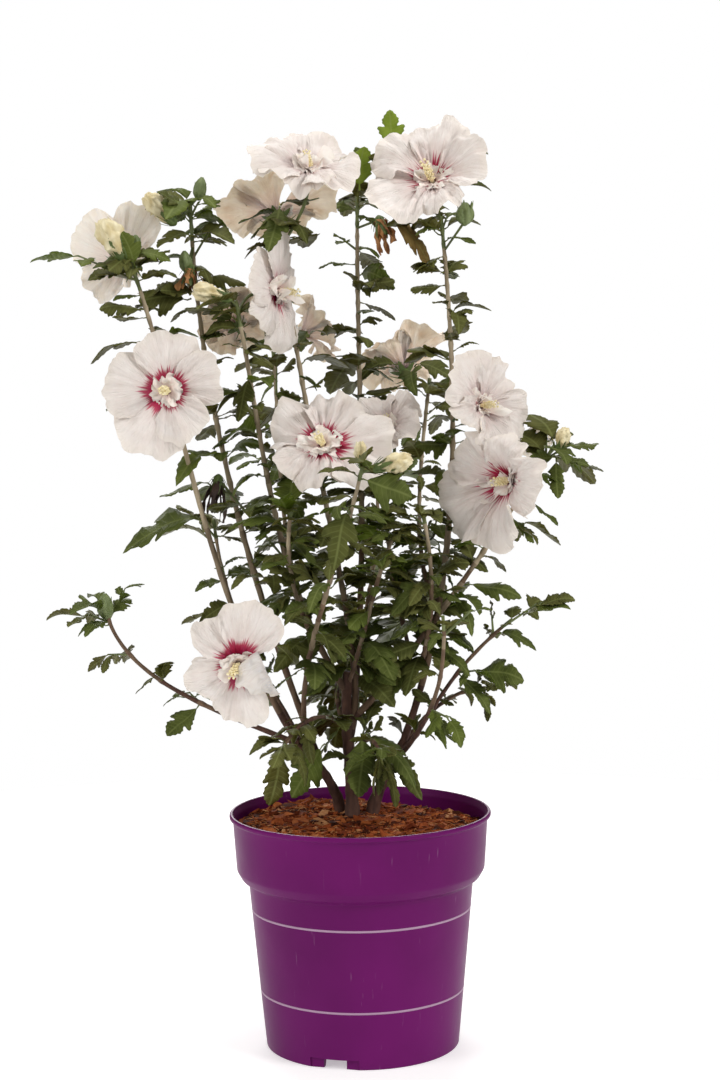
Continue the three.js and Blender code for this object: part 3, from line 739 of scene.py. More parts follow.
def addCane(draft, cane, number):
    length = cane["length"]
    steps = max(int(length / (stemSettings["step"] * mm)), 12)
    spots = curveSpots(cane["points"], steps)
    radii = []
    tones = []
    for i, spot in enumerate(spots):
        share = i / steps
        radius = cane["radius"] + (caneTipRadius - cane["radius"]) * share ** 0.8
        swell = sum(
            math.exp(-(((share - node) * length / (stemSettings["swellingLength"] * mm)) ** 2))
            for node in cane["nodes"]
        )
        radii.append(radius * mm * (1 + stemSettings["swelling"] * min(swell, 1)))
        below = sum(node < share for node in cane["nodes"])
        tones.append(stemTone(spot.z, share, chance(number, below, 30)))
    relief = stemSettings["relief"]
    addTube(draft, spots, radii, stemSettings["sides"], tones[:-1], rough=relief, seed=number * 7.3)


def addTrunk(draft, number, radius, tip, points):
    points = [place(point) for point in points]
    steps = int(curveLength(points) / (stemSettings["step"] * mm * 0.6))
    shares = [i / steps for i in range(steps + 1)]
    foot = stemSettings["trunkFoot"]
    radii = [(radius + (tip - radius) * share) * (1 + foot * math.exp(-share * 12)) * mm for share in shares]
    spots = curveSpots(points, steps)
    relief = stemSettings["trunkRelief"]
    addTube(draft, spots, radii, stemSettings["trunkSides"], 0, rough=relief, seed=50 + number * 9.1)


def addTwig(draft, start, end, radii):
    addTube(draft, [start, start.lerp(end, 0.5), end], radii, 6, youngShoot)


def addBloomTwig(draft, bloom):
    start = curvePoint(caneCurves[bloom["cane"]], bloom["at"])
    end = bloom["middle"] - bloom["facing"] * (bloom["cup"] * growth["cupDepth"] - 0.001)
    bend = end - bloom["facing"] * ((end - start).length * 0.35)
    spots = curveSpots([start, start.lerp(bend, 0.6), bend, end], 8)
    addTube(draft, spots, [0.0013 + 0.0004 * i / 8 for i in range(9)], 8, youngShoot)


def makeStems():
    draft = newDraft()
    for number, trunk in enumerate(trunks):
        addTrunk(draft, number, *trunk)
    for number, cane in enumerate(canes):
        addCane(draft, cane, number)
    for root, end in found["twigs"]:
        addTwig(draft, root, end, stemSettings["twigRadii"])
    for bloom in blooms:
        addBloomTwig(draft, bloom)
    for bud in buds:
        start = curvePoint(caneCurves[bud["cane"]], bud["at"])
        addTwig(draft, start, bud["base"] + bud["along"] * 0.002, stemSettings["budTwigRadii"])
    piece = makePiece("stems_and_twigs", draft, stemMaterials())
    nodes = [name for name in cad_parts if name.split("_")[0] in ("stem", "bough")]
    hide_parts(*nodes)


makeStems()
print("stems, canes and twigs made")

# Leaves: three-lobed, coarsely toothed blades, folded along the midrib, wavy and drooping.
leafSettings = {
    # Half of the outline from the stalk to the tip: place along the blade and half width, both as shares of
    # its length.
    "outline": (
        (0.0, 0.0), (0.05, 0.06), (0.12, 0.13), (0.22, 0.2), (0.29, 0.28), (0.345, 0.275), (0.4, 0.35),
        (0.46, 0.335), (0.52, 0.385), (0.575, 0.36), (0.585, 0.3), (0.56, 0.235), (0.565, 0.175),
        (0.61, 0.185), (0.66, 0.24), (0.71, 0.225), (0.76, 0.245), (0.8, 0.185), (0.86, 0.175),
        (0.9, 0.115), (0.955, 0.09), (0.985, 0.03), (1.0, 0.0),
    ),
    "lobes": (0.3, 0.59),  # the part of the blade that bears the side lobes
    "variety": (
        (-0.1, 0.6),  # fold along the midrib
        (0.2, 1.6),  # how far the margin bends down
        (0.02, 0.06),  # height of the waves
        (1.2, 2.6),  # number of waves
        (0, 6.28),  # where the waves start
        (-0.05, 0.25),  # curl of the tip
        (-0.8, 0.8),  # twist
        (-0.15, 0.15),  # bend to one side
        (0.72, 1.06),  # breadth
        (0.6, 1.08),  # size of the side lobes
    ),
    "veinSlant": 0.55,
    "stalkShare": 0.14,
    "stalkRadii": (0.0008, 0.0007, 0.0004),
    "thickness": 0.35,
    "quilt": 0.012,
    "deep": ((0.03, 0.032, 0.004), (0.057, 0.06, 0.008)),
    "middle": ((0.036, 0.054, 0.006), (0.066, 0.095, 0.012)),
    "fresh": ((0.05, 0.078, 0.005), (0.092, 0.132, 0.012)),
    "young": ((0.15, 0.25, 0.01), (0.28, 0.4, 0.03)),
    "browned": ((0.16, 0.055, 0.015), (0.36, 0.2, 0.07)),
    "olive": ((0.048, 0.043, 0.008), (0.092, 0.088, 0.018)),
    "under": ((0.07, 0.085, 0.025), (0.12, 0.135, 0.045)),
    "vein": (0.26, 0.3, 0.1),
    "veinStrength": 0.3,
    "veinSpacing": 0.1,  # share of the blade's length
}
leafTones = ("deep", "middle", "fresh", "young", "browned", "olive")
deepGreen, midGreen, freshGreen, youngGreen, browned, olive = range(len(leafTones))
leafGroups = "abc"  # the leaves are shared out among this many pieces

# Leaves that stand out by themselves. Each: where it leaves its stem, where it points, length, droop, roll
# and tone.
lonelyLeaves = [
    ((38, 30, 804), (-0.1, -0.2, 1), 38, 0.0, -1.5, youngGreen),
    ((7, 44, 772), (-0.0, -0.3, 1), 40, 0.0, -1.6, youngGreen),
    ((-188, -50, 702), (-0.2, -0.35, 1), 34, 0.0, -1.7, freshGreen),
    ((-186, -46, 712), (0.9, -0.3, 0.3), 30, 0.4, 0.6, freshGreen),
    ((-190, -44, 706), (-0.9, -0.4, 0.25), 40, 0.35, -0.7, midGreen),
    ((-146, -14, 752), (-0.5, -0.5, 0.6), 36, 0.2, -0.8, deepGreen),
    ((-131, -18, 476), (-1, -0.15, 0.16), 74, 0.28, -0.3, midGreen),
    ((147, -20, 394), (1, -0.1, 0.25), 44, 0.2, 0.3, freshGreen),
    ((124, -20, 374), (1, -0.2, 0.1), 34, 0.3, 0.4, midGreen),
    ((102, -20, 342), (1, -0.25, 0.15), 46, 0.2, 0.4, midGreen),
    ((96, -12, 418), (1, -0.25, 0.15), 50, 0.3, 0.4, midGreen),
    ((176, -40, 532), (-0.95, -0.4, 0.1), 28, 0.2, -1.0, midGreen),
    ((176, -42, 532), (-0.1, -0.6, -0.9), 34, 0.1, 0.1, midGreen),
    ((177, -40, 532), (0.9, -0.4, -0.1), 30, 0.1, 0.45, midGreen),
    ((182, -34, 530), (1, -0.2, 0.0), 36, 0.2, 0.2, deepGreen),
    ((44, 96, 616), (-0.8, -0.5, 0.1), 46, 0.3, -0.5, deepGreen),
    ((56, 96, 612), (0.85, -0.5, 0.15), 46, 0.3, 0.5, deepGreen),
    ((52, 92, 606), (0.1, -0.9, 0.2), 40, 0.5, 0.1, midGreen),
    ((34, 42, 741), (0.75, -0.2, 0.0), 40, 1.0, 0.9, browned),
    ((-64, 20, 752), (-0.55, -0.75, -0.2), 38, 0.4, 0.2, deepGreen),
    ((-64, 20, 752), (0.5, -0.8, -0.1), 42, 0.4, -0.3, deepGreen),
    ((-64, 16, 756), (-0.1, -0.9, -0.3), 46, 0.6, 0.0, midGreen),
    ((-64, 20, 750), (-0.95, -0.4, 0.1), 40, 0.2, 0.4, midGreen),
    ((-64, 20, 758), (0.9, -0.3, 0.3), 38, 0.2, -0.4, deepGreen),
    ((-30, -44, 282), (-0.55, -0.4, -0.6), 47, 0.25, -0.6, freshGreen),
    ((2, -52, 292), (0.05, -0.5, -0.8), 54, 0.1, 0.0, midGreen),
    ((6, -50, 292), (0.8, -0.45, -0.3), 52, 0.5, 0.6, midGreen),
    ((30, -24, 262), (0.3, -0.8, 0.05), 46, 0.5, 0.2, deepGreen),
    ((-4, -66, 480), (-0.25, -0.95, -0.05), 50, 0.25, 0.3, midGreen),
    ((0, -15, 355), (0.7, -0.6, 0.3), 52, 0.4, 0.5, deepGreen),
    ((0, -15, 355), (0.9, -0.35, -0.3), 46, 0.2, 0.9, deepGreen),
    ((4, -22, 368), (0.5, -0.85, 0.05), 50, 0.5, 0.3, midGreen),
    ((-3, -8, 342), (0.6, -0.7, -0.35), 50, 0.2, 0.6, deepGreen),
    ((60, -18, 364), (-0.8, -0.5, 0.2), 50, 0.4, -0.6, deepGreen),
    ((57, -8, 352), (-0.7, -0.6, -0.3), 50, 0.2, -0.6, midGreen),
    ((57, -8, 352), (-0.25, -0.9, 0.1), 46, 0.5, 0.0, deepGreen),
    ((88, 10, 797), (1, -0.1, 0.2), 34, 0.1, 0.5, deepGreen),
    ((90, 10, 772), (0.95, -0.1, 0.3), 34, 0.3, 0.7, deepGreen),
    ((-144, 8, 757), (-0.9, -0.35, 0.45), 46, 0.5, -0.7, olive),
    ((-144, 6, 732), (0.8, -0.5, 0.1), 44, 0.3, 0.5, olive),
    ((-144, 6, 730), (-0.6, -0.6, 0.2), 38, 0.4, -0.5, olive),
    ((-143, 6, 692), (1, -0.1, 0.15), 48, 0.2, 0.4, olive),
    ((-144, 5, 676), (-1, -0.25, 0.1), 48, 0.25, -0.6, olive),
    ((-176, -30, 640), (-1, -0.1, 0.1), 54, 0.35, -0.1, olive),
    ((-90, -24, 606), (-0.35, -0.6, -0.7), 42, 0.1, 0.0, deepGreen),
    ((4, -119, 520), (0.85, -0.42, -0.15), 48, 0.2, 0.9, midGreen),
    ((-5, -110, 496), (-0.3, -0.55, -0.7), 50, 0.1, -0.1, deepGreen),
]


# The map's x follows the side veins' feet along the midrib, and its y is the distance from the midrib.
def leafMaterial(name, dark, light, roughness):
    material, tree, shader = newMaterial(name, {
        "Base Color": light, "Roughness": roughness, "Specular IOR Level": 0.28,
        "Specular Tint": (1.0, 1.0, 0.45),
    })
    where = objectCoordinates(tree)
    color = rampNode(tree, noiseNode(tree, where, 70), [(0.3, dark), (0.7, light)])
    foot, half = mapCoordinates(tree, "leaf")
    midrib = fadeNode(tree, mathNode(tree, "ABSOLUTE", half), 0.03, 0.008)
    side = fadeNode(tree, mathNode(tree, "PINGPONG", foot, leafSettings["veinSpacing"] / 2), 0.013, 0.0, 0.6)
    veins = mathNode(tree, "MAXIMUM", midrib, side)
    strength = mathNode(tree, "MULTIPLY", veins, leafSettings["veinStrength"])
    feed(tree, shader.inputs["Base Color"], mixNode(tree, strength, color, leafSettings["vein"]))
    bumpNode(tree, shader, mathNode(tree, "SUBTRACT", noiseNode(tree, where, 210), veins), 0.3, 0.0004)
    return material


# For each tone the upper side of a leaf and then its paler underside.
def leafMaterials():
    materials = []
    for tone in leafTones:
        pairs = zip(leafSettings["under"], leafSettings[tone])
        under = [tuple(0.4 * a + 0.6 * b for a, b in zip(pale, own)) for pale, own in pairs]
        materials.append(leafMaterial("leaf_" + tone, *leafSettings[tone], 0.36))
        materials.append(leafMaterial("leaf_under_" + tone, *under, 0.6))
    return materials


def leafTone(leaf):
    if "tone" in leaf:
        return leaf["tone"]
    draw = chance(*leaf["spray"], 40)
    if leaf["age"] < 0.3 and draw > 0.8:
        return freshGreen
    if leaf["age"] < 0.6 and draw < 0.6:
        return olive
    return deepGreen if draw < 0.45 else midGreen if draw < 0.9 else freshGreen


def addLeaf(draft, stalks, leaf, number):
    root, out, length = leaf["root"], leaf["out"], leaf["length"]
    level = out.cross(upward).normalized() if abs(out.z) < 0.9 else across(out)
    side = turnedAbout(level, out, leaf["roll"])
    top = side.cross(out)
    start = leafSettings["stalkShare"]
    stir = random.Random(number)
    looks = [stir.uniform(*limits) for limits in leafSettings["variety"]]
    fold, margin, wave, waves, phase, curl, twist, bend, breadth, lobes = looks
    lobeStart, lobeEnd = leafSettings["lobes"]

    def spot(along, half, lift):
        reach = start + (1 - start) * along
        turn = twist * along
        width = side * math.cos(turn) + top * math.sin(turn)
        rise = top * math.cos(turn) - side * math.sin(turn)
        height = fold * abs(half) - margin * half * half
        height += wave * math.sin(waves * 6.28 * along + phase + (1.3 if half > 0 else 0)) * (abs(half) / 0.3)
        height -= curl * along ** 3 - 0.05 * math.sin(4.5 * along + phase)
        flat = root + out * (length * reach) - upward * (leaf["droop"] * length * reach * reach)
        return flat + width * (length * (half + bend * along * along)) + rise * (length * (height + lift))

    slot = leafTone(leaf) * 2
    rows = []
    marks = []
    for i, (along, half) in enumerate(leafSettings["outline"]):
        half *= breadth
        if lobeStart < along < lobeEnd and half > 0.16:
            half *= lobes
        foot = along - leafSettings["veinSlant"] * half
        marks.extend((foot, half * share) for share in (1, 0.5, 0, -0.5, -1))
        if half == 0:
            rows.append([spot(along, 0, 0)] * 5)
            continue
        lift = leafSettings["quilt"] * (1 if i % 2 == 0 else -0.6)
        middle = 0.5 * (foot + along)
        rows.append([
            spot(along, half, 0), spot(middle, half * 0.5, lift), spot(foot, 0, 0),
            spot(middle, -half * 0.5, lift), spot(along, -half, 0),
        ])
    addGrid(draft, rows, slot, uv={"leaf": marks})
    stalk = [root, spot(-start * 0.5 / (1 - start), 0, 0), spot(0.03, 0, 0)]
    addTube(stalks, stalk, leafSettings["stalkRadii"], 4, slot)


def makeLeaves(name, leaves, first, materials, nodes):
    draft = newDraft()
    stalks = newDraft()
    for i, leaf in enumerate(leaves):
        addLeaf(draft, stalks, leaf, first + i)
    blades = makePiece(name, draft, materials)
    weld(blades.data)
    solidify = blades.modifiers.new("thickness", "SOLIDIFY")
    solidify.thickness = leafSettings["thickness"] * mm
    solidify.offset = -1
    solidify.material_offset = 1
    for piece in (blades, makePiece(name + "_stalks", stalks, materials)):
        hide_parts(*nodes)


def addLonelyLeaves():
    for i, (root, out, length, droop, roll, tone) in enumerate(lonelyLeaves):
        found["leaves"].append({
            "root": place(root), "out": pointing(out), "length": length * mm, "droop": droop, "roll": roll,
            "age": 1, "spray": (70, i), "tone": tone,
        })


def makeFoliage():
    materials = leafMaterials()
    nodes = [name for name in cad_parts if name.startswith("foliage_")]
    for i, letter in enumerate(leafGroups):
        leaves = found["leaves"][i::len(leafGroups)]
        makeLeaves("leaves_" + letter, leaves, i * 1000, materials, nodes)


addLonelyLeaves()
makeFoliage()
print("leaves made")

# Blooms: five overlapping crinkled petals round a crimson eye, a tuft of narrow petals and a cream column.
bloomSettings = {
    "columns": 32,
    "rows": 18,
    "throatAngle": 37,  # degrees from a petal's middle to its side at the throat
    "rimAngle": (10, 6),  # degrees more at the rim: always, and by chance
    # Waves of the rim's outline: size, number, row of the pattern and how close they keep to the rim.
    "rimWaves": ((0.07, 4.2, 7, 4), (0.035, 9, 5, 6)),
    "ruffles": ((1, 2.2, 4.4, 3), (0.35, 5, 13, 5)),  # size, how close to the rim, number and shift
    "foldWidth": 0.12,  # share of the radius over which a petal folds back
    "frill": 0.05,
    "overlap": 0.05,
    "crinkle": 0.054,
    "recurve": 0.09,
    "thickness": 0.4,
    "tuftThickness": 0.3,
    "columnLength": 0.38,  # share of the radius
    "columnSteps": 8,
    "anthers": 60,
    "stigmas": 5,
    # A paler and a darker tone for each side of a petal.
    "front": ((0.85, 0.785, 0.745), (0.78, 0.695, 0.645)),
    # The back's tones are paler and warmer than the front's: painted light, standing in for light that passes
    # through the petal.
    "back": ((0.93, 0.84, 0.765), (0.87, 0.745, 0.65)),
    # Darker tan tones for the blooms at the back, seen from behind: painted shade.
    "shadedTan": ((0.81, 0.68, 0.56), (0.65, 0.49, 0.385)),
    "tuft": ((0.98, 0.93, 0.86), (0.96, 0.86, 0.79)),
    # Pink toward the throat: the petals' own flush, made stronger on the tuft and the petal bases as painted
    # warm shade.
    "blushAndShade": (0.8, 0.47, 0.5),
    "margin": (0.84, 0.76, 0.62),
    "crimson": ((0.06, (0.16, 0.003, 0.015)), (0.2, (0.4, 0.006, 0.045)), (0.5, (0.52, 0.09, 0.16))),
    "vein": (0.62, 0.4, 0.38),
    "anther": ((0.82, 0.7, 0.36), (0.9, 0.82, 0.56)),
    "eyes": {  # reach of the eye and of its rays, strength of the veins and of the pink flush with its painted warm shade
        "strong": (0.32, 0.15, 0.3, 0.3),
        "rays": (0.2, 0.26, 0.38, 0.4),
        "soft": (0.12, 0.2, 0.3, 0.35),
        "shadedTan": (0.12, 0.2, 0.4, 0.5),
    },
}
bakeTiles = (4, 3)  # each side of a petal keeps a place of its own on the baked picture
tileMargin = 0.04
tuftTile, columnTile = 10, 11
petalSlots = {"front": 0, "back": 1, "tuft": 2, "anther": 3}


def petalMaterial(name, tones, eyeReach, rayReach, veins, blushAndShade, sheer=0.25, crepe=0.001):
    white, shade = tones
    material, tree, shader = newMaterial(name, {
        "Base Color": white, "Roughness": 0.5, "Specular IOR Level": 0.25, "Subsurface Weight": sheer,
        "Subsurface Radius": (1.0, 0.85, 0.7) if sheer > 0.4 else (1.0, 1.0, 1.0), "Subsurface Scale": 0.003,
    })
    x, y = mapCoordinates(tree, "petal")

    def pattern(stretchX, stretchY, scale=1.0, detail=3.0):
        spot = {"X": mathNode(tree, "MULTIPLY", x, stretchX), "Y": mathNode(tree, "MULTIPLY", y, stretchY)}
        where = addNode(tree, "ShaderNodeCombineXYZ", spot)
        return noiseNode(tree, where.outputs["Vector"], scale, detail)

    color = rampNode(tree, pattern(2.2, 2.0, 1.6, 2.0), [(0.3, shade), (0.65, white)])
    color = mixNode(tree, fadeNode(tree, y, 0.82, 1.05, 0.35), color, bloomSettings["margin"])
    # Pink toward the throat: the flower's own flush, partly painted warm shade.
    color = mixNode(tree, fadeNode(tree, y, 0.6, 0.1, blushAndShade), color, bloomSettings["blushAndShade"])
    fine = pattern(34.0, 1.8, detail=4.0)
    strength = mathNode(tree, "MULTIPLY", fadeNode(tree, fine, 0.5, 0.64), fadeNode(tree, y, 1.1, 0.1, veins))
    color = mixNode(tree, strength, color, bloomSettings["vein"])
    rays = mathNode(tree, "MULTIPLY", fadeNode(tree, pattern(20.0, 0.5), 0.42, 0.7), rayReach)
    edge = mathNode(tree, "ADD", rays, eyeReach)
    start, end = mathNode(tree, "ADD", edge, 0.03), mathNode(tree, "SUBTRACT", edge, 0.05)
    color = mixNode(tree, fadeNode(tree, y, start, end), color, rampNode(tree, y, bloomSettings["crimson"]))
    feed(tree, shader.inputs["Base Color"], color)
    bumpNode(tree, shader, mathNode(tree, "ADD", fine, pattern(40.0, 7.0)), 0.9, crepe)
    return material


def bloomMaterials(eye):
    # Blooms at the back take the darker tan tones on both sides: painted shade.
    front, back = ("shadedTan", "shadedTan") if eye == "shadedTan" else ("front", "back")
    tuft = bloomSettings["tuft"]
    return [
        petalMaterial("petal_front_" + eye, bloomSettings[front], *bloomSettings["eyes"][eye], crepe=0.0015),
        # The back's paler tones are painted light passing through the petal.
        petalMaterial("petal_back_" + eye, bloomSettings[back], 0.02, 0.14, 0.4, 0.5, sheer=0.6),
        # The tuft's pink base is partly painted warm shade.
        petalMaterial("tuft_" + eye, tuft, 0.03, 0.06, 0.12, 0.45, sheer=0.35, crepe=0.0002),
        mottled("anther_yellow", bloomSettings["anther"], 0.6, 300, 0.2),
    ]


# A petal's point: u goes from -1 to 1 across it and v from 0 at the throat to 1 at the rim.
def petalSpot(bloom, number, petal, u, v):
    radius, wave = bloom["reach"], bloom["wave"]
    seed = number * 7.7 + petal * 1.9
    always, extra = bloomSettings["rimAngle"]
    widening = (always + extra * chance(number, petal, 72)) * v ** 0.7
    half = math.radians(bloomSettings["throatAngle"] + widening) * (1 + (bloom["spread"] - 1) * v)
    middle = math.radians(bloom["aims"][petal])
    # How far out the rim is: cut back at the corners, and wavy.
    edge = bloom["lengths"][petal] - bloom["notches"][petal] * abs(u) ** 3 * v ** 1.5 - 0.1 * abs(u) ** 9
    edge -= 0.08 * chance(number, petal, 74) + 0.12 * ripple(u * 1.7, seed, 4) * v ** 3
    for size, waves, row, power in bloomSettings["rimWaves"]:
        edge += size * ripple(u * waves, seed, row) * v ** power
    # How far forward it stands: the bowl, a tilt, ruffles, and then pleats and crumples.
    height = bloom["bowl"] * radius * (1 - (1 - v) ** 1.9)
    height += 0.16 * radius * (chance(number, petal, 75) - 0.5) * v
    height += bloomSettings["overlap"] * radius * u * v
    height -= bloomSettings["recurve"] * radius * v ** 4 * (0.3 + 1.2 * chance(number, petal, 70))
    for size, power, waves, shift in bloomSettings["ruffles"]:
        height += size * wave * radius * v ** power * math.sin(u * waves + seed * shift)
    height += bloomSettings["frill"] * radius * v ** 8 * ripple(u * 11, seed, 6)
    height += wave * radius * v ** 1.5 * ripple(u * 2.2 + seed, v * 2.2, seed)
    pleats = ripple(u * 5.5 + seed, v * 0.9, seed * 2)
    crumples = ripple(u * 4 + seed, v * 6, seed * 3)
    crumples += 0.6 * ripple(u * 9 + seed, v * 9, seed * 4)
    crinkle = bloomSettings["crinkle"] * bloom["crumple"]
    height += crinkle * radius * (pleats * (0.3 + v) + 0.6 * crumples * v)
    spot = around(middle + u * half, radius * (0.03 + 0.97 * v) * edge, height)
    if petal in bloom["folded"]:
        spot = foldedOver(spot, middle, radius, *bloom["folded"][petal])
    out = around(middle)
    hinge = out * (0.06 * radius)
    raised = math.radians(bloom["raised"].get(petal, 0)) * min(v * 3, 1)
    return hinge + turnedAbout(spot - hinge, Vector((out.y, -out.x, 0)), raised)


# The part of a petal beyond a slanting line, turned back over the rest of it.
def foldedOver(spot, middle, radius, reach, slant, turn):
    crease = around(middle) * (reach * radius)
    outward = around(middle + math.radians(slant))
    beyond = (spot - crease).dot(outward) / (bloomSettings["foldWidth"] * radius)
    crease.z = spot.z
    bent = math.radians(turn) * min(max(beyond, 0), 1)
    return crease + turnedAbout(spot - crease, outward.cross(upward), bent)


# Where a point lies on the baked picture, within its own tile.
def tileSpot(tile, x, y):
    wide, high = bakeTiles
    room = 1 - 2 * tileMargin
    return (tile % wide + tileMargin + x * room) / wide, (tile // wide + tileMargin + y * room) / high


# A sheet with a front, a back and a rim. Points go leftwards along each row and outwards from row to row.
def addShell(draft, rows, thickness, slots, spots, tiles):
    high, wide = len(rows), len(rows[0])
    back = []
    for r, row in enumerate(rows):
        above = rows[min(r + 1, high - 1)]
        below = rows[max(r - 1, 0)]
        line = []
        for c, spot in enumerate(row):
            normal = (row[min(c + 1, wide - 1)] - row[max(c - 1, 0)]).cross(above[c] - below[c])
            line.append(spot - normal.normalized() * thickness)
        back.append(line)
    steps = [(1 - c / (wide - 1), r / (high - 1)) for r in range(high) for c in range(wide)]
    frontUv = {"petal": spots, "OFBake": [tileSpot(tiles[0], x, y) for x, y in steps]}
    order = [r * wide + c for r in range(high) for c in reversed(range(wide))]
    backUv = {"petal": [spots[i] for i in order], "OFBake": [tileSpot(tiles[1], *steps[i]) for i in order]}
    addGrid(draft, rows, slots[0], uv=frontUv)
    addGrid(draft, [line[::-1] for line in back], slots[1], uv=backUv)
    rim = [(0, c) for c in range(wide)] + [(r, wide - 1) for r in range(1, high)]
    rim += [(high - 1, c) for c in reversed(range(wide - 1))] + [(r, 0) for r in reversed(range(high - 1))]
    strip = [[back[r][c] for r, c in rim], [rows[r][c] for r, c in rim]]
    indices = [r * wide + c for r, c in rim] * 2
    addGrid(draft, strip, slots[0], uv={key: [values[i] for i in indices] for key, values in frontUv.items()})


def addBead(draft, middle, radius):
    high, wide = 5, 6

    def spotAt(r, c):
        lift = math.pi * (r + 0.02) / 4.04
        return middle + around(fullTurn * c / wide, math.sin(lift), -math.cos(lift)) * radius

    spots = [tileSpot(columnTile, c / wide, r / (high - 1)) for r in range(high) for c in range(wide)]
    marks = {"OFBake": spots, "petal": [(0.5, 0.9)] * len(spots)}
    addGrid(draft, gridOf(high, wide, spotAt), petalSlots["anther"], closed=True, uv=marks)


def addPetals(draft, bloom, number, toWorld):
    columns, high = bloomSettings["columns"], bloomSettings["rows"]
    grid = [[(1 - 2 * c / columns, r / high) for c in range(columns + 1)] for r in range(high + 1)]
    for petal in range(5):
        rows = [[toWorld(petalSpot(bloom, number, petal, u, v)) for u, v in line] for line in grid]
        marks = [(number * 5 + petal + (u + 1) / 2, v) for line in grid for u, v in line]
        slots = (petalSlots["front"], petalSlots["back"])
        addShell(draft, rows, bloomSettings["thickness"] * mm, slots, marks, (petal, petal + 5))


# One of the narrow petal-like blades round the column.
def addTuftBlade(draft, bloom, i, draws, toWorld):
    radius = bloom["reach"]
    turn = i * nextTurn + draws[0] * 0.8
    rise = 0.2 + 0.95 * draws[1]
    length = radius * (0.21 + 0.16 * draws[2]) * (0.4 + 0.6 * bloom["tuft"]) * (1 + 0.22 * math.cos(2 * turn))
    width = length * (0.45 + 0.3 * draws[3])
    out = around(turn)
    side = Vector((out.y, -out.x, 0))
    high, wide = 8, 5

    def spotAt(r, c):
        share = r / (high - 1)
        u = 1 - 2 * c / (wide - 1)
        middle = out * (0.05 * radius + length * math.cos(rise) * share)
        middle.z = 0.05 * radius + length * (math.sin(rise) * share - 0.4 * share ** 3)
        breadth = width * (0.3 + 0.7 * math.sin(math.pi * 0.82 * share ** 1.3))
        breadth *= 1 if share < 0.99 else 0.6
        twist = (draws[4] - 0.5) * 2.4 * share
        shift = side * (-u * breadth * math.cos(twist))
        lift = u * breadth * math.sin(twist) + 0.35 * breadth * u * u
        lift += 0.3 * breadth * math.sin(9 * share + 3 * u + 6 * draws[5]) * share
        shift += out * (0.25 * breadth * math.sin(7 * u + 5 * draws[5]) * share)
        return toWorld(middle + shift + Vector((0, 0, lift)))

    marks = [(i + 0.5 - 0.5 * c / (wide - 1), r / (high - 1)) for r in range(high) for c in range(wide)]
    slots = (petalSlots["tuft"], petalSlots["tuft"])
    thickness = bloomSettings["tuftThickness"] * mm
    addShell(draft, gridOf(high, wide, spotAt), thickness, slots, marks, (tuftTile, tuftTile))


# The column, with its many anthers set round it and five stigmas at the tip.
def addColumn(draft, bloom, number, toWorld):
    radius = bloom["reach"]
    length = bloomSettings["columnLength"] * radius
    lean = Vector((chance(number, 1, 71) - 0.5, chance(number, 2, 71) - 0.5, 0)) * (0.2 * radius)

    def core(share):
        spot = lean * share * share
        spot.z = length * share
        return spot

    steps = bloomSettings["columnSteps"]
    first = len(draft["points"])
    spots = [toWorld(core(i / steps)) for i in range(steps + 1)]
    radii = [radius * (0.04 - 0.022 * i / steps) for i in range(steps + 1)]
    addTube(draft, spots, radii, 8, petalSlots["anther"])
    count = len(draft["points"]) - first
    for name, (x, y) in (("OFBake", tileSpot(columnTile, 0.3, 0.3)), ("petal", (0.5, 0.9))):
        marks = {first + i: (x + 0.03 * (i % 8) / 8, y + 0.1 * i / count) for i in range(count)}
        draft["uv"].setdefault(name, {}).update(marks)
    anthers = bloomSettings["anthers"]
    for i in range(anthers):
        draws = chances(number + 0.8, i, 2)
        spread = radius * (0.035 + 0.03 * draws[0])
        spot = core(0.3 + 0.66 * i / anthers) + around(i * nextTurn, 1.0, 0.2) * spread
        addBead(draft, toWorld(spot), radius * (0.013 + 0.008 * draws[1]))
    for i in range(bloomSettings["stigmas"]):
        tip = core(1) + around(i * 1.257 + 0.3, 1.0, 0.9) * (0.06 * radius)
        addBead(draft, toWorld(tip), radius * 0.022)


def makeBloom(bloom, number, materials):
    draft = newDraft()
    facing = bloom["facing"]
    right = upward.cross(facing).normalized()
    high = facing.cross(right)

    def toWorld(spot):
        return bloom["middle"] + right * spot.x + high * spot.y + facing * spot.z

    addPetals(draft, bloom, number, toWorld)
    for i in range(round(5 + 8 * min(bloom["tuft"], 1.3))):
        addTuftBlade(draft, bloom, i, chances(number + 0.6, i, 6), toWorld)
    addColumn(draft, bloom, number, toWorld)
    piece = makePiece("petals_" + bloom["name"], draft, materials)
    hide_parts("bloom_" + bloom["name"])


def makeBlooms():
    materials = {eye: bloomMaterials(eye) for eye in bloomSettings["eyes"]}
    for number, bloom in enumerate(blooms):
        makeBloom(bloom, number, materials[bloom["eye"]])


makeBlooms()
print("blooms made")

# The green cups behind the blooms and under the buds, with their pointed sepals and the narrow strips below.
cupSettings = {
    "calyx": ((0.06, 0.095, 0.02), (0.13, 0.18, 0.05)),
    "bud": ((0.11, 0.15, 0.045), (0.2, 0.25, 0.1)),
    "cream": ((0.62, 0.5, 0.24), (0.86, 0.79, 0.56)),
    "withered": ((0.02, 0.01, 0.007), (0.06, 0.03, 0.02)),
    "rusty": ((0.16, 0.045, 0.012), (0.6, 0.3, 0.11)),
    # A cup's rings: how far up and how wide.
    "rings": ((0, 0.25), (0.12, 0.6), (0.35, 0.95), (0.7, 1.0), (1.0, 0.95), (1.2, 0.3)),
    "ringSides": 15,
    "sepalThickness": 0.35,
    # Width of a closed bud and of a rolled-up spent bloom from base to tip.
    "budGirth": (0.45, 0.8, 0.97, 1.0, 0.95, 0.82, 0.58, 0.2),
    "spentGirth": (0.4, 0.55, 0.75, 0.92, 1.0, 0.98, 0.85, 0.5),
    "tatters": 8,
}
greens = ("calyx", "bud")
spentKinds = ("cream", "withered", "rusty")


# A thin blade of three points a row, such as a sepal.
def addStrip(draft, rows, slot):
    marks = [(0.5, 0.5)] * (3 * len(rows))
    addShell(draft, rows, cupSettings["sepalThickness"] * mm, (slot, slot), marks, (0, 0))


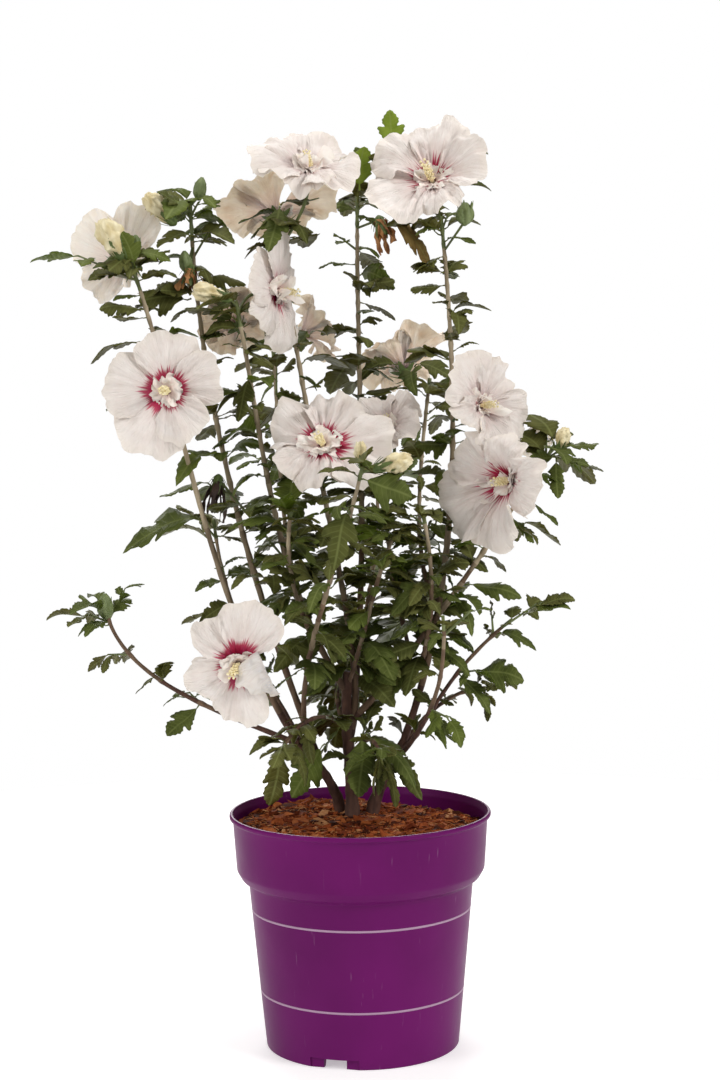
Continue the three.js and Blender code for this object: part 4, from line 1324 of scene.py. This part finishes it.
def addSepal(draft, root, out, rise, length, width, slot, curl):
    side = out.cross(rise).normalized()
    rows = []
    for share in (r / 5 for r in range(6)):
        middle = root + out * (length * share) + rise * (curl * length * share * share)
        breadth = width * (1 - share) ** 0.7 * (0.75 + 0.5 * share)
        rows.append([middle + side * breadth, middle + rise * (0.12 * width), middle - side * breadth])
    addStrip(draft, rows, slot)


# Five broad sepals spread from the cup's rim, and seven narrow strips from lower down.
def addCup(draft, base, along, size, slot, flare, sepal=1.7):
    side = across(along)
    sides = cupSettings["ringSides"]
    rows = []
    for share, wide in cupSettings["rings"]:
        middle = base + along * (size * 1.25 * share)
        outs = [turnedAbout(side, along, fullTurn * c / sides) for c in range(sides)]
        rows.append([middle + out * (size * 0.62 * wide) for out in outs])
    addSolid(draft, rows, slot)
    for count, step, first, spread, height, reach, length, width, curl in (
        (5, 1.257, 0.4, flare, 1.1, 0.5, sepal, 0.42, -0.12),
        (7, 0.898, 0, flare + 0.5, 0.3, 0.45, 1.5, 0.1, -0.15),
    ):
        for i in range(count):
            out = turnedAbout(side, along, i * step + first)
            lead = (out * spread + along).normalized()
            rise = (along * spread - out).normalized()
            root = base + along * (size * height) + out * (size * reach)
            addSepal(draft, root, lead, -rise, size * length, size * width, slot, curl)


# A closed bud, or a spent bloom rolled up into papery folds.
def addFurled(draft, bud, base, slot, number, spent):
    along = bud["along"]
    side = across(along)
    girths = cupSettings["spentGirth" if spent else "budGirth"]
    high, wide = 28, 45

    def spotAt(r, c):
        share = r / high
        step = min(int(share * 7), 6)
        girth = girths[step] + (girths[step + 1] - girths[step]) * (share * 7 - step)
        turn = fullTurn * c / wide
        where = around(turn, 1.5, share * 2.5 + number * 3.1)
        if spent:
            ridge = 1 - 0.35 * abs(math.sin(2.5 * turn + 2.2 * share + number + 1.5 * noise.noise(where)))
            ridge += 0.3 * noise.noise(where * 1.7) + 0.15 * noise.noise(where * 5)
        else:
            ridge = 0.74 + 0.28 * abs(math.sin(2.5 * turn + number + share)) ** 0.6
        up = share + (0.12 * noise.noise(where * 2) * share if spent else 0)
        out = turnedAbout(side, along, turn) * (bud["radius"] * girth * ridge)
        return base + along * (bud["length"] * up) + out

    addSolid(draft, gridOf(high + 1, wide, spotAt), slot)


# The tattered strips of a withered bloom.
def addTatters(draft, bud, base, slot, number):
    along, radius = bud["along"], bud["radius"]
    side = across(along)
    for i in range(cupSettings["tatters"]):
        draws = chances(number + 0.3, i, 5)
        out = turnedAbout(side, along, i * nextTurn)
        size = bud["length"] * (0.55 + 0.55 * draws[0])
        rows = []
        for share in (r / 8 for r in range(9)):
            swell = radius * (0.25 + (0.2 + 0.9 * draws[1]) * math.sin(2.2 * share) * share ** 0.5)
            middle = base + along * (size * share) + out * swell
            middle += side * (0.12 * size * share * math.sin(7 * share + 6 * draws[2]))
            turn = turnedAbout(along.cross(out), along, (draws[3] - 0.5) * 3 * share)
            wide = radius * (0.22 + 0.2 * draws[4]) * (1 + 0.5 * math.sin(13 * share + 6 * draws[0]))
            wide *= 1.1 - 0.6 * share
            rows.append([middle + turn * wide, middle + out * (0.3 * wide), middle - turn * wide])
        addStrip(draft, rows, slot)


def addBud(cups, furled, bud, number):
    base, along, radius, kind = bud["base"], bud["along"], bud["radius"], bud["kind"]
    if kind == "green":
        addFurled(cups, bud, base, greens.index("bud"), number, False)
        addCup(cups, base - along * 0.002, along, radius * 0.78, greens.index("bud"), 0.42, 2.4)
    elif kind == "cream":
        addFurled(furled, bud, base + along * (radius * 0.4), spentKinds.index(kind), number, True)
        addCup(cups, base - along * 0.001, along, radius * 0.8, greens.index("calyx"), 0.35)
    else:
        addTatters(furled, bud, base + along * (radius * 0.3), spentKinds.index(kind), number)
        addCup(cups, base - along * 0.002, along, radius * 0.7, greens.index("calyx"), 0.4)


def makeCupsAndBuds():
    green = [
        mottled("calyx_green", cupSettings["calyx"], 0.6, 140, 0.3),
        mottled("bud_green", cupSettings["bud"], 0.55, 140, 0.3),
    ]
    spent = [
        mottled("spent_" + kind, cupSettings[kind], 0.65, 130, 0.6, stretch=(1, 1, 0.4))
        for kind in spentKinds
    ]
    cups = newDraft()
    furled = newDraft()
    for bloom in blooms:
        base = bloom["middle"] - bloom["facing"] * (bloom["cup"] * growth["cupDepth"])
        addCup(cups, base, bloom["facing"], bloom["cup"], greens.index("calyx"), 2.6, 1.15)
    for number, bud in enumerate(buds):
        addBud(cups, furled, bud, number)
    cupPiece = makePiece("calyxes_and_green_buds", cups, green)
    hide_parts(*["bloom_" + bloom["name"] for bloom in blooms])
    furledPiece = makePiece("furled_blooms", furled, spent)
    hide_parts(*["foliage_" + bud["cane"] for bud in buds])


makeCupsAndBuds()
print("calyxes, buds and furled blooms made")

# The pot: a thin blow-moulded nursery pot with a wide band under its rolled lip.
potSettings = {
    "sides": 192,
    # Distance from the middle and height, up the outside and then down the inside.
    "outside": (
        (0, 0), (34, 0), (38, 9), (76, 9), (79, 0), (87.5, 0), (101.5, 151), (107.6, 154.3), (112, 162),
        (115, 208), (118, 209), (118, 212), (117, 213),
    ),
    "inside": (
        (115.4, 213), (112.8, 207), (109.8, 162), (105.4, 156.5), (99.3, 153.2), (85.3, 11.2), (37.4, 11.2),
        (33.2, 2.2), (0, 2.2),
    ),
    "rounding": 1.6,
    "wobble": 0.5,
    "wobbleFrom": 40,  # distance from the middle
    "notchCount": 3,
    "notchFirst": -107,
    "notchWidth": 45,
    "drainWidth": 21,
    "notchStep": 4,
    "footRadius": 87.5,
    "footWidth": 8.5,
    "wallSlope": 14 / 151,  # how far the wall widens for its height
    "recess": 9,
    "sharpEdge": 35,  # degrees
    "purple": ((0.105, 0.0045, 0.088), (0.132, 0.006, 0.11)),
    "scuff": (0.42, 0.27, 0.4),
    "stripe": (0.36, 0.22, 0.335),
    "stripeHeights": (126.5, 52),
    "stripeWidth": 2,
    "stripeProud": 0.12,
    "stripeSunk": -0.3,
}


# A profile with its corners rounded and its long runs divided.
def roundedProfile(points, rounding):
    spots = [Vector((r, z, 0)) for r, z in points]
    result = [spots[0]]
    for before, corner, after in zip(spots, spots[1:], spots[2:]):
        into = min(rounding, (corner - before).length * 0.4)
        onward = min(rounding, (after - corner).length * 0.4)
        start = corner + (before - corner).normalized() * into
        end = corner + (after - corner).normalized() * onward
        for share in (0.0, 0.25, 0.5, 0.75, 1.0):
            rest = 1 - share
            result.append(start * rest * rest + corner * 2 * rest * share + end * share * share)
    result.append(spots[-1])
    fine = [result[0]]
    for a, b in zip(result, result[1:]):
        pieces = max(int((b - a).length / 8), 1)
        fine.extend(a.lerp(b, (i + 1) / pieces) for i in range(pieces))
    return [(spot.x * mm, spot.y * mm) for spot in fine]


def wobble(angle, height):
    amount = potSettings["wobble"] * mm * min(height / 0.05, 1)
    return amount * (math.sin(2 * angle + 0.7) * 0.6 + math.sin(3 * angle + height * 9) * 0.3)


def potMaterial():
    dark, light = potSettings["purple"]
    material, tree, shader = newMaterial("purple_plastic", {"Base Color": light, "Specular IOR Level": 0.08})
    where = objectCoordinates(tree)
    color = rampNode(tree, noiseNode(tree, where, 9, 3), [(0.35, dark), (0.65, light)])
    scratches = noiseNode(tree, objectCoordinates(tree, (260, 260, 14)), 1.0, 4)
    marks = rampNode(tree, scratches, [(0.66, (0, 0, 0)), (0.74, (1, 1, 1))])
    patches = rampNode(tree, noiseNode(tree, where, 22, 2), [(0.52, (0, 0, 0)), (0.68, (0.4, 0.4, 0.4))])
    color = mixNode(tree, mathNode(tree, "MULTIPLY", marks, patches), color, potSettings["scuff"])
    feed(tree, shader.inputs["Base Color"], color)
    feed(tree, shader.inputs["Roughness"], fadeNode(tree, noiseNode(tree, where, 30, 4), 0, 1, 0.48, 0.3))
    bumpNode(tree, shader, noiseNode(tree, where, 45, 4), 0.25, 0.0008)
    return material


def applyModifiers(piece):
    graph = bpy.context.evaluated_depsgraph_get()
    mesh = bpy.data.meshes.new_from_object(piece.evaluated_get(graph), depsgraph=graph)
    piece.modifiers.clear()
    piece.data = mesh


# Cuts a box of the recess's height, upwards and downwards, out of the foot.
def cutNotch(pot, turn, start, length, width):
    end, half = start + length, width / 2
    corners = [(start, -half), (end, -half), (end, half), (start, half)]
    ring = [turnedAbout(place((x, y, 0)), upward, turn) for x, y in corners]
    rise = upward * (potSettings["recess"] * mm)
    draft = newDraft()
    addSolid(draft, [[spot - rise for spot in ring], [spot + rise for spot in ring]])
    cutter = makePiece("notchCutter", draft, [], smooth=False)
    weld(cutter.data)
    cut = pot.modifiers.new("notch", "BOOLEAN")
    cut.operation = "DIFFERENCE"
    cut.object = cutter
    cut.solver = "EXACT"
    applyModifiers(pot)
    bpy.data.objects.remove(cutter)


def makePot():
    profile = [
        spot for side in ("outside", "inside")
        for spot in roundedProfile(potSettings[side], potSettings["rounding"])
    ]

    def spotAt(r, c):
        radius, height = profile[r]
        angle = fullTurn * c / potSettings["sides"]
        reach = max(radius, 0.00005)
        if radius > potSettings["wobbleFrom"] * mm:
            reach += wobble(angle, height)
        return around(angle, reach, height)

    draft = newDraft()
    addSolid(draft, gridOf(len(profile), potSettings["sides"], spotAt))
    pot = makePiece("nursery_pot", draft, [potMaterial()])
    weld(pot.data)
    for i in range(potSettings["notchCount"]):
        turn = math.radians(potSettings["notchFirst"] + 360 / potSettings["notchCount"] * i)
        step, deep = potSettings["notchStep"], potSettings["footWidth"] + 3
        for depth, width in ((step, potSettings["notchWidth"]), (deep, potSettings["drainWidth"])):
            cutNotch(pot, turn, potSettings["footRadius"] - depth, depth + 10, width)
    for polygon in pot.data.polygons:
        polygon.use_smooth = True
    pot.data.set_sharp_from_angle(angle=math.radians(potSettings["sharpEdge"]))
    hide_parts("pot")


def makeStripes():
    draft = newDraft()
    half = potSettings["stripeWidth"] / 2
    proud, sunk = potSettings["stripeProud"], potSettings["stripeSunk"]
    for height in potSettings["stripeHeights"]:
        low, top = height - half, height + half
        corners = ((low, sunk), (low, proud), (top, proud), (top, sunk))

        def spotAt(r, c):
            z, step = corners[r]
            angle = fullTurn * c / potSettings["sides"]
            reach = (potSettings["footRadius"] + potSettings["wallSlope"] * z + step) * mm
            return around(angle, reach + wobble(angle, z * mm), z * mm)

        rows = gridOf(len(corners), potSettings["sides"], spotAt)
        addGrid(draft, rows + rows[:1], closed=True)
    stripe = mottled("lilac_print", (potSettings["stripe"], potSettings["stripe"]), 0.5, 60, 0.1)
    piece = makePiece("pot_stripes", draft, [stripe])
    weld(piece.data)
    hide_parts("pot")


makePot()
makeStripes()
print("pot made")

# Bark mulch: a low mound covered in chips and fibres.
mulchSettings = {
    "chips": 2600,
    "fibres": 2600,
    "seed": 11,
    "radius": 108,
    "crown": 207,
    "edge": 201,
    "hollow": 18,  # how steeply it sinks at the back on the right
    "underside": 190,
    "tones": (
        ((0.03, 0.006, 0.002), (0.075, 0.015, 0.005)),
        ((0.09, 0.017, 0.005), (0.19, 0.037, 0.01)),
        ((0.16, 0.033, 0.008), (0.34, 0.08, 0.02)),
        ((0.25, 0.062, 0.016), (0.45, 0.135, 0.038)),
        ((0.36, 0.14, 0.055), (0.56, 0.28, 0.12)),
    ),
    "chipShares": (0.25, 0.3, 0.24, 0.15, 0.06),  # how common each tone is among the chips
    "fibreTones": (1, 2, 3, 3, 4),
}
mulchRadius = mulchSettings["radius"] * mm


def moundHeight(x, y):
    share = min(math.hypot(x, y) / mulchRadius, 1)
    height = mulchSettings["crown"] - (mulchSettings["crown"] - mulchSettings["edge"]) * share ** 3
    sunk = max(0, (x * 0.6 + y * 0.8) / mulchRadius - 0.45)
    height -= mulchSettings["hollow"] * sunk
    return (height + 2.2 * ripple(x * 45, y * 45, 3)) * mm


def addMound(draft):
    high, wide = 40, 96

    def spotAt(r, c):
        reach = max(mulchRadius * r / (high - 1), 0.0001)
        x, y = circleSpot(fullTurn * (wide - 1 - c) / wide, reach)
        return Vector((x, y, moundHeight(x, y) - 0.0025))

    rows = gridOf(high, wide, spotAt)
    floorRow = [Vector((spot.x, spot.y, mulchSettings["underside"] * mm)) for spot in rows[-1]]
    addGrid(draft, rows + [floorRow], closed=True)


def addChip(draft, stir):
    reach = mulchRadius * math.sqrt(stir.random()) * 0.985
    x, y = circleSpot(stir.uniform(0, fullTurn), reach)
    length = stir.uniform(0.002, 0.0075) if stir.random() < 0.85 else stir.uniform(0.007, 0.014)
    width = length * stir.uniform(0.3, 0.7)
    thick = stir.uniform(0.0006, 0.0018)
    length = min(length, mulchRadius - reach + 0.004)
    tilt = Quaternion(pointing((stir.uniform(-1, 1), stir.uniform(-1, 1), 0)), stir.gauss(0, 0.35))
    middle = Vector((x, y, moundHeight(x, y) + stir.uniform(-0.0015, 0.0022)))
    slot = stir.choices(range(5), mulchSettings["chipShares"])[0]
    twist = Quaternion(upward, stir.uniform(0, 6.28)) @ tilt
    corners = stir.randint(5, 7)
    ring = []
    for i in range(corners):
        angle = fullTurn * (i + stir.uniform(-0.25, 0.25)) / corners
        spread = stir.uniform(0.75, 1.1)
        ring.append(Vector((math.cos(angle) * length * spread, math.sin(angle) * width * spread, 0)))
    rows = []
    for lift, size in ((-1, 0.85), (1, 1.0)):
        row = []
        for spot in ring:
            high = lift * thick * stir.uniform(0.5, 1.2)
            row.append(middle + twist @ (spot * (size * stir.uniform(0.9, 1.05)) + Vector((0, 0, high))))
        rows.append(row)
    addSolid(draft, rows, slot)


def addFibre(draft, stir):
    reach = (mulchSettings["radius"] - 6) * mm * math.sqrt(stir.random())
    start = around(stir.uniform(0, fullTurn), reach)
    start.z = moundHeight(start.x, start.y) + stir.uniform(0, 0.003)
    turn = stir.uniform(0, 6.28)
    length = stir.uniform(0.004, 0.013)
    step = around(turn, 1.0, stir.uniform(-0.2, 0.3)) * length
    bow = Vector((stir.uniform(-1, 1), stir.uniform(-1, 1), stir.uniform(0, 1))) * (length * 0.15)
    radius = stir.uniform(0.0002, 0.0006)
    spots = [start - step * 0.5, start + bow, start + step * 0.5]
    addTube(draft, spots, [radius, radius, radius * 0.6], 4, stir.choice(mulchSettings["fibreTones"]))


def makeMulch():
    stir = random.Random(mulchSettings["seed"])
    materials = [
        mottled("mulch_" + letter, tones, 0.9, 260, 0.8, depth=0.0006, stretch=(1, 1, 0.5), shine=0.15)
        for letter, tones in zip("abcde", mulchSettings["tones"])
    ]
    draft = newDraft()
    addMound(draft)
    for i in range(mulchSettings["chips"]):
        addChip(draft, stir)
    for i in range(mulchSettings["fibres"]):
        addFibre(draft, stir)
    piece = makePiece("bark_mulch", draft, materials, smooth=False)
    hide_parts("soil")


makeMulch()
print("mulch made")
